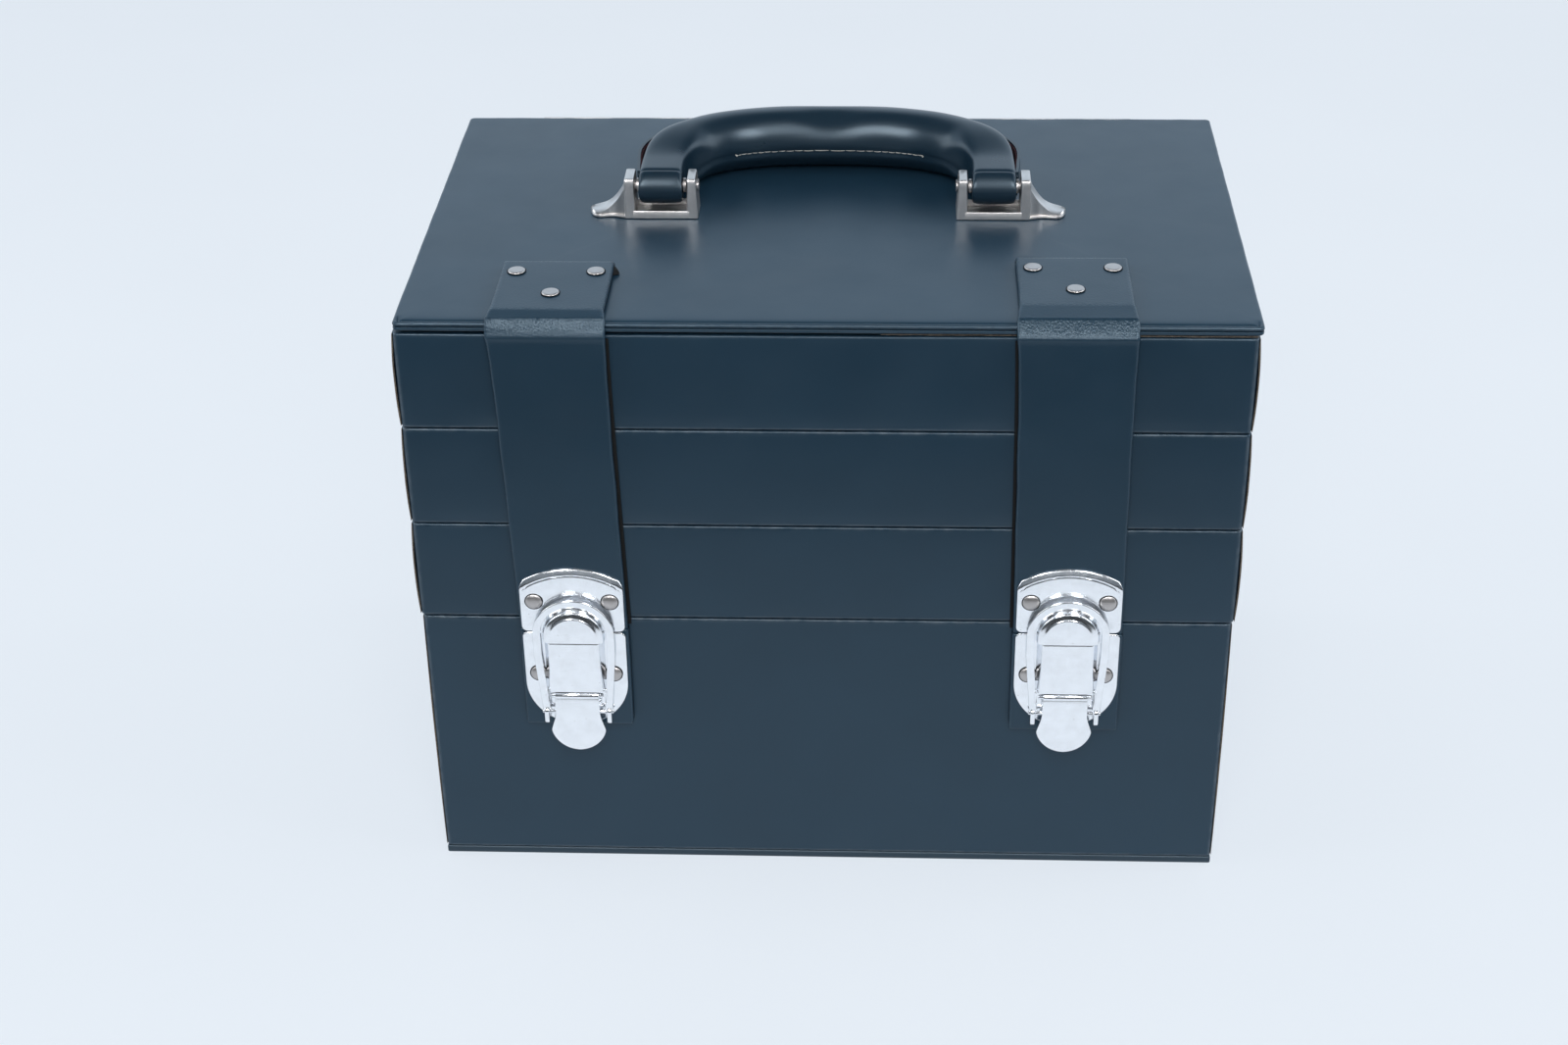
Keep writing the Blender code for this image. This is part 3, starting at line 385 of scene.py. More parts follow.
def lathe(shape, profile, place, steps, slot=0):
    """A turned form from (radius, out) points. place turns (across, up, out) into a point."""
    turns = divided(steps)
    rings = [[place(r * math.cos(a), r * math.sin(a), out) for a in turns] for r, out in profile]
    return shape.loft(rings, slot)


def tube(shape, path, radii):
    """A round tube with caps along a list of points, with a radius for each."""
    path = [Vector(p) for p in path]
    rings = []
    side = None
    for i, (p, radius) in enumerate(zip(path, radii)):
        ahead = path[min(i + 1, len(path) - 1)] - path[max(i - 1, 0)]
        ahead.normalize()
        if side is None:
            side = ahead.orthogonal()
        side = (side - ahead * side.dot(ahead)).normalized()
        up = ahead.cross(side)
        turns = divided(TUBE_SIDES)
        rings.append([p + side * radius * math.cos(a) + up * radius * math.sin(a) for a in turns])
    return shape.loft(rings)


def heading(path, i):
    """The direction of a flat path at one of its points."""
    before, after = path[max(i - 1, 0)], path[min(i + 1, len(path) - 1)]
    return Vector((after[0] - before[0], after[1] - before[1])).normalized()


def both_ends(half):
    """A turned profile of (radius, along), from the half that starts at its lower end."""
    return half + [(radius, -along) for radius, along in reversed(half)]


# ---------------------------------------------------------------- trays and base

WALL = 4.0
SKIN_FRONT, SKIN_REAR = -92.5, 91.6
TRAY_LOOKS = {1: (0.85, 0.1), 2: (0.7, 0.7), 3: (0.8, 0.7)}


def wall_section(bottom, top):
    """(share of the wall from its inside, height, wear) round a wall: out, over the rim and back in."""
    middle = [(1.0, z, 0.0) for z in spread(bottom + 1.2, top - 2.4, 6)]
    return (
        [(0.7, bottom, 0.1), (0.93, bottom + 0.06, 0.4), (0.99, bottom + 0.35, 0.6)]
        + middle
        + [(1.0, top - 1.3, 0.1), (1.012, top - 0.8, 0.5), (0.99, top - 0.34, 0.9)]
        + [(0.93, top - 0.08, 0.8), (0.84, top, 0.3), (0.5, top + 0.02, 0.0), (0.18, top - 0.02, 0.0)]
        + [(0.05, top - 0.25, 0.4), (0.0, top - 0.8, 0.2), (0.0, top - 6.0, 0.0), (0.0, top - 12.0, 0.0)]
        + [(0.0, bottom + 2.0, 0.0), (0.06, bottom + 0.1, 0.0)]
    )


def covered_walls(low, high, seed, bulge=0.18, radius=1.9, rim_wear=1.0):
    """Four board walls wrapped in one skin, with slightly uneven folds along their edges."""
    bottom, top = low.z, high.z
    steps = (92, 56)
    outer = rounded_loop(low, high, radius, steps)
    inner = rounded_loop((low.x + WALL, low.y + WALL), (high.x - WALL, high.y - WALL), 0.8, steps)
    section = wall_section(bottom, top)
    rings = []
    wear = []
    for (out_point, normal), (in_point, _) in zip(outer, inner):
        ring = []
        rubbed = []
        corner = 0.5 if abs(normal[0]) > 0.05 and abs(normal[1]) > 0.05 else 0.0
        for share, z, worn in section:
            x = lerp(in_point[0], out_point[0], share)
            y = lerp(in_point[1], out_point[1], share)
            if share > 0.9:
                level = (z - bottom) / (top - bottom)
                swell = bulge * (1 - (2 * level - 1) ** 4) + 0.10 * wave(x + seed, y, z, 24.0)
                swell = max(-0.25, swell) if share == 1.0 else 0.08 * wave(x + seed, y, z, 9.0)
                x += normal[0] * swell
                y += normal[1] * swell
            if z > top - 1.0:
                z += 0.07 * wave(x + seed, y, 0.0, 11.0)
            ring.append((x, y, z))
            rubbed.append(min(1.0, (worn if z < top - 1.5 else rim_wear * worn) + corner))
        rings.append(ring)
        wear.append(rubbed)
    return Shape().torus(rings, 0, wear)


def side_cover(side, bottom, top, wall_x, bow, seed):
    """The separate skin on a side wall, whose raw front edge stands a little proud of the corner."""
    sign = -1 if side == "left" else 1
    columns = [SKIN_FRONT + step for step in (0, 0.7, 2.5, 6, 12, 20, 32)]
    columns += spread(SKIN_FRONT + 50, SKIN_REAR - 2, 8) + [SKIN_REAR]
    rings = []
    for y in columns:
        near = math.exp(-((y - SKIN_FRONT) / 16.0) ** 2)
        back = math.exp(-((y - SKIN_REAR) / 10.0) ** 2)
        outer = []
        inner = []
        for z in spread(bottom + 0.35, top - 0.35, 10):
            belly = 1 - abs(2 * (z - bottom) / (top - bottom) - 1) ** 2.2
            lift = 0.14 + bow * (near + 0.5 * back) * belly + 0.05 * wave(seed, y, z, 7.0) * near
            lift = max(0.1, min(1.0, lift))
            thick = 0.5 if lift > 0.45 else lift * 0.9
            frayed = 0.25 * wave(seed + 5, 0.0, z, 1.6) if y == SKIN_FRONT else 0.0
            outer.append((sign * (wall_x + lift), y + frayed, z))
            inner.append((sign * (wall_x + lift - thick), y + frayed, z))
        rings.append(outer + inner[::-1])
    shape = Shape().loft(rings)
    count = len(rings[0])
    shape.slots[:count] = [1] * count
    shape.slots[-2:] = [1, 1]
    return shape


def cloth_walls(outside, bottom, top, seed):
    """Lining glued to the inside of four walls, with a turned top edge."""
    near = (WALL - outside.x, WALL - outside.y)
    far = (outside.x - WALL, outside.y - WALL)
    turned_edge = ((0.04, bottom), (0.04, top - 0.3), (0.12, top), (0.34, top + 0.02), (0.46, top - 0.35))
    rings = []
    for (x, y), (nx, ny) in rounded_loop(near, far, 0.9, (40, 26), 3):
        ring = []
        for depth, z in turned_edge:
            lift = 0.12 * wave(x + seed, y, 0.0, 14.0) if z > bottom else 0.0
            ring.append((x - nx * depth, y - ny * depth, z + lift))
        for z in spread(bottom, top - 1.0, 4)[3::-1]:
            depth = 0.46 + 0.06 * wave(x + seed, y, z, 12.0)
            ring.append((x - nx * depth, y - ny * depth, z))
        rings.append(ring)
    return Shape().torus(rings)


def padded_board(shape, low, high, crown, edge, seed, steps=(30, 20)):
    """A board wrapped in cloth: rounded edges and a faintly uneven top."""
    edge = min(edge, (high[2] - low[2]) * 0.45)
    levels = [(edge * 0.6, low[2]), (edge * 0.15, low[2] + edge * 0.2), (0.0, low[2] + edge * 0.5)]
    levels += [(edge * (1 - math.cos(t)), high[2] - edge * (1 - math.sin(t))) for t in QUARTER]
    rings = []
    for inward, z in levels:
        near, far = (low[0] + inward, low[1] + inward), (high[0] - inward, high[1] - inward)
        rings.append([(x, y, z) for (x, y), _ in rounded_loop(near, far, 0.6, steps, 3)])
    rim = rings[-1]
    middle_x, middle_y = (low[0] + high[0]) / 2, (low[1] + high[1]) / 2
    for share in (0.94, 0.86, 0.72, 0.5, 0.25):
        ring = []
        for x, y, _ in rim:
            px, py = lerp(middle_x, x, share), lerp(middle_y, y, share)
            lift = crown * min(1.0, (1 - share) * 6) * (0.6 + 0.4 * wave(px + seed, py, high[2], 30.0))
            ring.append((px, py, high[2] + lift))
        rings.append(ring)
    return shape.loft(rings)


def divider_strip(shape, low, high, seed):
    """An upright board wrapped in cloth, with a rounded top edge."""
    axis = 0 if (high[0] - low[0]) > (high[1] - low[1]) else 1
    other = 1 - axis
    middle = (low[other] + high[other]) / 2
    half = (high[other] - low[other]) / 2
    round_z = high[2] - half
    section = [(-half, low[2]), (-half, round_z)] + arc(0, round_z, half, 180, 0, 6)[1:-1]
    section += [(half, round_z), (half, low[2])]
    rings = []
    for along in spread(low[axis], high[axis], 24):
        ring = []
        for across, z in section:
            lift = 0.1 * wave(along, seed, 0.0, 13.0) if z > round_z - 0.01 else 0.0
            point = [0.0, 0.0, z + lift]
            point[axis] = along
            point[other] = middle + across + 0.12 * wave(along + seed, 0.0, z, 26.0)
            ring.append(tuple(point))
        rings.append(ring)
    return shape.loft(rings)


def make_walls(body, node, bow, seed, skin_seed, **looks):
    """The covered walls of the base or of a tray, with a skin on each side, and their two end corners."""
    low, high = corners(node)
    walls = covered_walls(low, high, seed, **looks)
    walls.piece(f"{body}_walls", body, "navy_leatherette", [LEATHERETTE], [node])
    for side in SIDES:
        skin = side_cover(side, low.z, high.z, high.x, bow, skin_seed)
        skin.piece(f"{body}_skin_{side}", body, "navy_leatherette", [LEATHERETTE, RAW_EDGE])
    return low, high


def make_tray(number):
    """One tray: covered walls, side skins, lining, floor and partitions."""
    body = f"tray_{number}"
    bow, rim_wear = TRAY_LOOKS[number]
    _, high = make_walls(body, f"{body}_case", bow, 100.0 * number, 10.0 * number, rim_wear=rim_wear)
    floor_low, floor_high = corners(f"{body}_floor")
    lined = cloth_walls(high, floor_low.z + 0.4, high.z - 8.5, 31.0 * number)
    lined.piece(f"{body}_lining", body, "lining", [LINING])
    floor = padded_board(Shape(), floor_low, floor_high, 0.12, 0.8, 7.0 * number)
    floor.piece(f"{body}_bed", body, "lining", [LINING], [f"{body}_floor"])
    make_partitions(number)


def make_partitions(number):
    """The cloth-covered boards that divide a tray."""
    low, high = corners(f"tray_{number}_divider")
    half = 1.2
    z0, z1 = low.z, high.z
    strips = []
    if number == 1:
        long_y = -8.0
        strips.append(((low.x, long_y - half, z0), (high.x, long_y + half, z1)))
        for x in (-48.0, 48.0):
            strips.append(((x - half, low.y, z0), (x + half, long_y - half + 0.1, z1 - 0.2)))
    elif number == 2:
        for x in (low.x + half, high.x - half):
            strips.append(((x - half, low.y, z0), (x + half, high.y, z1)))
        strips.append(((low.x + 2 * half - 0.1, -half, z0), (high.x - 2 * half + 0.1, half, z1 - 0.2)))
    else:
        strips.append((tuple(low), tuple(high)))
    shape = Shape()
    for index, (strip_low, strip_high) in enumerate(strips):
        divider_strip(shape, strip_low, strip_high, 19.0 * number + 7 * index)
    tray = f"tray_{number}"
    shape.piece(f"{tray}_partitions", tray, "lining", [LINING], [f"{tray}_divider"])


def make_base():
    """The deep bottom box and the board that it stands on."""
    low, high = make_walls("base", "base_case", 0.35, 700.0, 77.0, bulge=0.15, radius=1.7)
    board_low, board_high = corners("base_board")
    board = padded_board(Shape(), board_low, board_high, 0.0, 0.7, 3.0, (92, 56))
    board.piece("base_board_wrapped", "base", "base_board_leatherette", [BOARD_WRAP], ["base_board"])
    lined = cloth_walls(high, low.z + 0.3, high.z - 12.0, 55.0)
    reach_x, reach_y = high.x - WALL - 0.6, high.y - WALL - 0.6
    mat_low = (-reach_x, -reach_y, board_high.z + 0.05)
    padded_board(lined, mat_low, (reach_x, reach_y, board_high.z + 1.3), 0.15, 0.6, 9.0)
    lined.piece("base_lining", "base", "lining", [LINING])


# ---------------------------------------------------------------- lid

LID_GROOVE = 9
LID_FRONT = (
    ((14.0, -4.08, 0.0), (4.6, -4.1, 0.0), (3.4, -4.0, 0.0), (2.2, -3.55, 0.0), (1.1, -3.4, 0.1))
    + ((0.5, -3.25, 0.3), (0.3, -2.95, 0.2), (0.32, -2.5, 0.0), (0.5, -2.12, 0.0), (1.1, -1.98, 0.0))
    + ((1.15, -1.62, 0.0), (0.7, -1.5, 0.0), (0.34, -1.34, 0.1), (0.14, -1.06, 0.2), (0.12, -0.75, 0.3))
    + ((0.26, -0.45, 0.15), (0.5, -0.2, 0.15), (0.84, -0.06, 0.1), (1.15, -0.12, 0.0), (1.4, -0.42, 0.0))
    + ((1.55, -0.86, 0.0), (1.95, -0.9, 0.0), (2.2, -0.5, 0.0), (2.8, -0.28, 0.0), (3.8, -0.15, 0.0))
    + ((5.5, -0.09, 0.0), (8.0, -0.06, 0.0), (12.0, -0.05, 0.0), (20.0, -0.04, 0.0), (40.0, -0.03, 0.0))
    + ((64.0, -0.02, 0.0), (86.0, -0.01, 0.0))
)
LID_PLAIN = (
    ((14.0, -4.08), (3.0, -4.1), (1.4, -4.05), (0.35, -3.85))
    + ((0.06, -3.45), (0.0, -3.0), (0.0, -2.6), (0.0, -2.2))
    + ((0.0, -1.8), (0.0, -1.5), (0.0, -1.25), (0.0, -1.05), (0.02, -0.86), (0.06, -0.68), (0.14, -0.5))
    + ((0.26, -0.34), (0.42, -0.2), (0.62, -0.11), (0.85, -0.07), (1.15, -0.06), (1.5, -0.06), (1.9, -0.06))
)


def lid_profile(index):
    """(inset, drop) of the plain edge for the same place on the section as the front edge's."""
    return LID_PLAIN[index] if index < len(LID_PLAIN) else (LID_FRONT[index][0], -0.05)


def make_lid():
    """A board wrapped in leatherette, with a wavy rolled bead along its front, and an inside panel."""
    low, high = corners("lid_board")
    scale = (high.z - low.z) / 4.1
    rings = []
    wear = []
    for index, (depth, drop, worn) in enumerate(LID_FRONT):
        plain_depth, plain_drop = lid_profile(index)
        near, far = (low.x + depth, low.y + depth), (high.x - depth, high.y - depth)
        close = math.exp(-depth / 3.0)
        ring = []
        for (x, y), (nx, ny) in rounded_loop(near, far, max(0.35, 1.6 - 0.3 * depth), (150, 92)):
            front = smooth_step(-y, -near[1] - 2.5, -near[1] - 0.6)
            ripple = 0.16 * wave(x, y, 40.0, 15.0) + 0.08 * wave(x, y, 9.0, 5.0)
            out = ripple * close * 0.5 - 0.08 + (depth - plain_depth) * (1 - front)
            lift = close * (0.8 * ripple - 0.06) if index > LID_GROOVE else 0.0
            ring.append((x + nx * out, y + ny * out, high.z + lerp(plain_drop, drop, front) * scale + lift))
        rings.append(ring)
        wear.append([worn] * len(ring))
    cover = Shape().loft(rings, 0, True, wear)
    cover.piece("lid_cover", "lid", "navy_leatherette", [LEATHERETTE], ["lid_board"])
    make_lid_edge(low, high)
    low, high = corners("lid_lining")
    under, over = (low.x, low.y, -high.z), (high.x, high.y, -low.z)
    panel = padded_board(Shape(), under, over, 0.0, 0.45, 15.0, (60, 40))
    panel.points = [Vector((p.x, p.y, -p.z)) for p in panel.points]
    panel.piece("lid_inside_panel", "lid", "lining", [LINING], ["lid_lining"])


def make_lid_edge(low, high):
    """The raw turn-in of the cover, which shows along the lid's lower front edge."""
    rings = []
    for x in spread(20.0, high.x - 2.0, 90):
        ragged = 0.16 * wave(x, 3.0, 0.0, 2.4) + 0.12 * wave(x, 8.0, 0.0, 9.0)
        y = low.y + 1.3 + 0.3 * wave(x, 1.0, 5.0, 6.0)
        z0 = low.z - 0.12 + ragged * 0.5 - 0.16 * smooth_step(x, 70.0, 125.0)
        z1 = low.z + 0.12
        rings.append([(x, y, z1), (x, y - 0.02, z0), (x, y + 1.6, z0 + 0.05), (x, y + 1.6, z1)])
    Shape().loft(rings).piece("lid_turn_in", "lid", "navy_leatherette", [RAW_EDGE])


# ---------------------------------------------------------------- straps and pads


def strap_facts(side):
    """Where a strap and its latch lie, from the frame."""
    low, high = corners(f"strap_{side}")
    rivet_low, rivet_high = corners(f"strap_{side}_rivet_3")
    bail_low, bail_high = corners(f"bail_{side}")
    lever = next(j for j in frame["joints"] if j["name"] == f"lever_{side}_flip")
    return {
        "rear": high.y,
        "bottom": low.z,
        "top": high.z,
        "front": low.y,
        "lid_x": (rivet_low.x + rivet_high.x) / 2,
        "latch_x": (bail_low.x + bail_high.x) / 2,
        "latch_dz": lever["pos_m"][2] / MM - LEVER_AXIS[1],
    }


def strap_middle(facts, z):
    """Where the strap's centre line is at a height: it drifts from its lid rivets to its latch."""
    fall = max(0.0, LID_TOP - z) / (LID_TOP - facts["bottom"])
    return lerp(facts["lid_x"], facts["latch_x"], fall)


LID_TOP = 233.1
STRAP_REST = 233.3
CLEAR_TOP, CLEAR_FRONT = 233.35, -94.15
STRAP_THICK = 2.8
STRAP_HALF = 20.0
END_STATIONS = 5
# Faces round the strap's sides and back, coloured near-black as painted shade.
BACK_FACES = range(16, 22)


def bend_points(start, start_tilt, end, end_tilt, steps):
    """A curve from start to end in the (y, z) plane, with its tilt in degrees at both ends."""
    start, end = Vector(start), Vector(end)
    first, last = [Vector((-math.cos(a), -math.sin(a))) for a in map(math.radians, (start_tilt, end_tilt))]
    gap = end - start
    reach = (gap.x * last.y - gap.y * last.x) / (first.x * last.y - first.y * last.x)
    middle = start + first * reach
    shares = spread(0.0, 1.0, steps)
    return [tuple(start * (1 - t) ** 2 + middle * 2 * t * (1 - t) + end * t**2) for t in shares]


def strap_path(facts, crease, hump_y, hump_tilts, hump_z):
    """Stations (y, z, extra half width, wear) along the strap's outer face."""
    top, front, rear = facts["top"], facts["front"], facts["rear"]
    stations = [(rear + 0.05, top - 1.3, 0.0, 0.0), (rear, top - 0.75, 0.0, 0.4)]
    stations += [(rear - 0.22, top - 0.3, 0.0, 1.0)]
    stations += [(rear - 0.7, top - 0.03, 0.0, 0.7), (rear - 1.5, top - 0.01, 0.0, 0.0)]
    stations += [(y, top, 0.0, 0.0) for y in spread(rear - 4.0, crease + 3.0, 10)]
    stations += [(crease + 1.2, top, 0.0, 0.1), (crease, top - 0.02, 0.1, 0.3)]
    stations += [(crease - 0.9, top - 0.12, 0.25, 0.0)]
    bend_top = top - 0.95
    for share in (0.25, 0.5, 0.75, 0.92):
        y = lerp(crease - 0.9, hump_y + 0.3, share)
        stations.append((y, lerp(top - 0.12, bend_top, share), 0.3 + 0.6 * share, 0.0))
    curve = bend_points((hump_y, bend_top), hump_tilts[0], (front - 0.32, hump_z), hump_tilts[1], 12)
    for index, (y, z) in enumerate(curve):
        stations.append((y, z, 1.0, 0.55 if 0 < index < 9 else 0.1))
    stations += [(front - 0.22, hump_z - 0.7, 0.92, 0.0), (front - 0.05, hump_z - 1.5, 0.88, 0.0)]
    for z in spread(hump_z - 3.0, facts["bottom"], 34):
        stations.append((front, z, 0.85 * math.exp((z - hump_z) / 17.0), 0.0))
    return stations


def clear_of_lid(point):
    """Move a point of the strap's back out of the lid's edge, the nearer way."""
    over, before = CLEAR_TOP - point.z, point.y - CLEAR_FRONT
    if over > 0 and before > 0:
        if over < before:
            point.z += over
        else:
            point.y -= before
    return point


def strap_section(half):
    """(across, depth, wear) round the strap: the outer face first, then the back."""
    outer = [(-half, 1.2, 0.3), (-half + 0.12, 0.55, 0.8)]
    outer += [(-half + 0.45, 0.14, 1.0), (-half + 1.0, 0.0, 0.5)]
    outer += [(-half + 1.9, 0.04, 0.0), (-half + 4.0, 0.05, 0.0)]
    across = [(x, 0.02, 0.0) for x in (-0.6 * half, -0.3 * half, 0.0, 0.3 * half, 0.6 * half)]
    mirror = [(-x, d, w) for x, d, w in reversed(outer)]
    back = [(half - 0.1, 2.1, 0.0), (half - 0.8, STRAP_THICK, 0.0), (0.0, STRAP_THICK, 0.0)]
    back += [(-half + 0.8, STRAP_THICK, 0.0), (-half + 0.1, 2.1, 0.0)]
    return outer + across + mirror + back


def make_strap(side, crease, hump_y, hump_tilts, hump_z):
    """The covered strap that runs over the lid's front edge and down to its latch."""
    facts = strap_facts(side)
    drift = facts["latch_x"] - facts["lid_x"]
    rings = []
    wear = []
    stations = strap_path(facts, crease, hump_y, hump_tilts, hump_z)
    for index, (y, z, wider, worn) in enumerate(stations):
        ahead = heading(stations, index)
        at_end = index < END_STATIONS
        out = Vector((0.0, 0.0, 1.0)) if at_end else Vector((0.0, ahead.y, -ahead.x))
        edge_share = 0.3 if y > facts["front"] + 1.0 else 0.15
        sway = 0.16 * wave(3.0, y, z, 16.0) + 0.1 * wave(9.0, y, z, 5.0)
        ring = []
        rubbed = []
        for across, depth, edge_wear in strap_section(STRAP_HALF + wider):
            uneven = 0.06 * wave(across, y, z + 300, 8.0) + 0.05 * wave(across, y, z, 21.0)
            if worn > 0.5 and y < crease:
                uneven += 0.5 * worn * wave(across, drift, 2.0, 12.0)
            depth = min(depth, 1.0) if at_end else depth
            deep = depth if depth > 2 else depth - uneven
            point = clear_of_lid(Vector((strap_middle(facts, z) + across + sway, y, z)) - out * deep)
            point.z = max(point.z, STRAP_REST) if y > -92 else point.z
            ring.append(tuple(point))
            rubbed.append(min(1.0, edge_share * edge_wear + worn))
        rings.append(ring)
        wear.append(rubbed)
    foot = [(x, y + 0.02, STRAP_REST) for x, y, _ in rings[0]]
    shape = Shape().loft([foot] + rings, 0, True, [wear[0]] + wear)
    # The strap's sides and back take the near-black material: painted shade along its edges.
    count = len(rings[0])
    for index in range(len(rings) * count):
        if index % count in BACK_FACES:
            shape.slots[index] = 1
    # A black strip showing beside the strap: painted shadow.
    add_painted_shadow_strip(shape, facts)
    if side == "left":
        add_nub(shape, facts)
    looks = [STRAP, EDGE_BLACK_AND_PAINTED_SHADE]
    shape.piece(f"strap_{side}_cover", "lid", "navy_leatherette", looks, [f"strap_{side}"], 60.0)


def add_painted_shadow_strip(shape, facts):
    """A black strip behind a strap, a little wider than the cover on the side towards the middle: painted
    shadow beside the strap.
    """
    inner = 1 if facts["lid_x"] < 0 else -1
    front, back = -94.3, -93.75
    rings = []
    for z in spread(227.5, facts["bottom"] + 0.4, 20):
        middle = strap_middle(facts, z)
        near = middle - inner * 18.0
        far = middle + inner * (STRAP_HALF + 1.1 + 0.5 * math.exp((z - 228.0) / 20.0))
        rings.append([(near, front, z), (far, front, z), (far, back, z), (near, back, z)])
    shape.loft(rings, 1)


def add_nub(shape, facts):
    """The corner of folded skin that stands out beside the left strap's rear end."""
    x0 = facts["lid_x"] + STRAP_HALF - 0.4
    y0 = facts["rear"] - 4.2
    foot = ((0.0, -2.4, 233.4), (2.6, -1.0, 233.4), (2.0, 1.3, 233.4), (0.0, 2.4, 233.4))
    crest = ((0.0, -2.0, 235.3), (1.5, -0.8, 234.9), (1.2, 0.9, 235.1), (0.0, 2.0, 235.6))
    shape.loft([[(x0 + x, y0 + y, z) for x, y, z in ring] for ring in (foot, crest)], 1)


def make_pad(side):
    """The backing piece behind a latch on the base, with near-black cut sides that are partly painted shade.
    """
    low, high = corners(f"pad_{side}")
    thick = high.y - low.y
    turns = [math.radians(a) for a in (0, 25, 50, 75, 90)]
    levels = [(0.3, 0.0), (0.0, 0.3), (0.0, 0.45 * thick)]
    levels += [(0.8 * (1 - math.cos(t)), thick - 0.8 * (1 - math.sin(t))) for t in turns] + [(3.0, thick)]
    rings = []
    for distance, out in levels:
        near = (low.x + distance, low.z + distance)
        far = (high.x - distance, high.z - distance)
        loop = rounded_loop(near, far, max(0.3, 1.1 - distance), (20, 22), 4)
        rings.append([(x + 0.1 * wave(x, z, 3.0, 9.0), high.y - out, z) for (x, z), _ in loop])
    wear = [[0.3 if index in (5, 6) else 0.0] * len(ring) for index, ring in enumerate(rings)]
    shape = Shape().loft(rings, 0, True, wear)
    # The cut sides are near-black: their own dark edge, deepened as painted shade.
    shape.slots[: 2 * len(rings[0])] = [1] * (2 * len(rings[0]))
    shape.piece(f"pad_{side}_cover", "base", "navy_leatherette", [STRAP, EDGE_BLACK_AND_PAINTED_SHADE], [f"pad_{side}"], 60.0)


# ---------------------------------------------------------------- latches

PLATE_BACK = -97.3
PLATE_FACE = -98.15
LEVER_AXIS = (-100.4, 83.0)
BAIL_AXIS = (-100.1, 75.5)
BAIL_RADIUS = 15.15
BAIL_STRIP = 2.9


def latch_place(facts, surface):
    """A function that turns (across, up, out) at one latch into a point."""
    return lambda x, z, out: (facts["latch_x"] + x, surface - out, facts["latch_dz"] + z)


def mirrored(points):
    """An outline's right half, then its left half in reverse."""
    return points + [(-x, y) for x, y in reversed(points) if abs(x) > 0.001]


KEEPER_HALF = 19.1
KEEPER_TOP = 137.1
KEEPER_CROWN = 33.4
BOSS_Z = 109.5
BOSS_STEPS = (
    ((12.7, -0.5), (12.3, -0.1), (11.9, 0.15), (11.55, 0.6))
    + ((11.35, 1.2), (11.2, 1.9), (11.1, 2.5), (10.95, 2.85))
    + ((10.6, 3.05), (10.0, 3.2), (9.4, 3.35), (9.15, 3.45), (9.0, 3.62), (8.85, 3.72), (8.6, 3.74))
)


def keeper_outer(steps):
    """The catch plate's edge from its lower right corner over the top to its lower left."""
    half, bottom, corner = KEEPER_HALF, 110.25, 2.2
    right = [(half - corner - 3.0, bottom), (half - corner, bottom)]
    right += arc(half - corner, bottom + corner, corner, -90, 0, 5)[1:]
    right += [(half, z) for z in spread(bottom + corner + 2, 128.6, 6)]
    right += [(19.02, 129.5), (18.75, 130.3), (18.3, 131.0)]
    sweep = math.degrees(math.asin(17.6 / KEEPER_CROWN))
    right += arc(0, KEEPER_TOP - KEEPER_CROWN, KEEPER_CROWN, 90 - sweep, 90, steps)
    return right + [(-x, y) for x, y in reversed(right[:-1])]


def keeper_relief(x, z):
    """How far the catch plate's face stands out: its dish, and the rolled rim along its top."""
    rim = keeper_rim(x, z)
    distance = math.hypot(x, z - BOSS_Z)
    dish = -0.24 * math.exp(-(((distance - 16.0) / 3.0) ** 2)) * smooth_step(z, 111.0, 116.0)
    raised = 0.22 * smooth_step(distance, 17.0, 21.0)
    roll = 0.0
    if rim < 2.5:
        roll = -0.9 * (1.0 - rim / 2.5) ** 2.0 + 0.16 * math.exp(-(((rim - 2.0) / 0.4) ** 2))
    groove = -0.2 * math.exp(-(((rim - 2.75) / 0.2) ** 2))
    return dish + raised + roll + groove


def keeper_rim(x, z):
    """Distance from the plate's arched top edge."""
    return KEEPER_CROWN - math.hypot(x, z - (KEEPER_TOP - KEEPER_CROWN))


def make_keeper(side):
    """The catch plate on the strap, with its dished face, rolled rim and half-round boss."""
    place = latch_place(strap_facts(side), PLATE_FACE)
    outer = keeper_outer(22)
    sweep = [math.radians(lerp(6.0, 174.0, i / (len(outer) - 1))) for i in range(len(outer))]
    inner = [(11.7 * math.cos(a), BOSS_Z + 11.7 * math.sin(a)) for a in sweep]
    shares = spread(0.0, 0.78, 16) + [0.795, 0.81, 0.82, 0.828, 0.836, 0.844, 0.855]
    shares += [0.87, 0.89, 0.91, 0.93, 0.95, 0.965, 0.98, 0.99]
    back = PLATE_FACE - PLATE_BACK
    rings = []
    for (ix, iz), (ox, oz) in zip(inner, outer):
        ring = []
        for share in shares:
            x, z = lerp(ix, ox, share), lerp(iz, oz, share)
            ring.append(place(x, z, keeper_relief(x, z)))
        fall = 0.35 if keeper_rim(ox, oz) > 0.2 else 0.5
        ring += [place(ox, oz, keeper_relief(ox, oz) - fall), place(ox, oz, back), place(ix, iz, back)]
        rings.append(ring)
    shape = Shape().loft(rings)
    add_boss(shape, place)
    shape.piece(f"keeper_{side}_catch", "lid", "chrome", [CHROME], [f"keeper_{side}"], 50.0)


def add_boss(shape, place):
    """The half-round boss that the bail hooks over, stepped towards its flat face."""
    rings = []
    for radius, out in BOSS_STEPS:
        foot = 107.05 + (0.04 if out > 3.7 else 0.0)
        centre = lerp(BOSS_Z, 108.8, max(0.0, out) / 3.7)
        outline = [(radius, foot)] + arc(0, centre, radius, 0, 180, 36) + [(-radius, foot)]
        rings.append([place(x, z, out) for x, z in outline])
    shape.loft(rings)


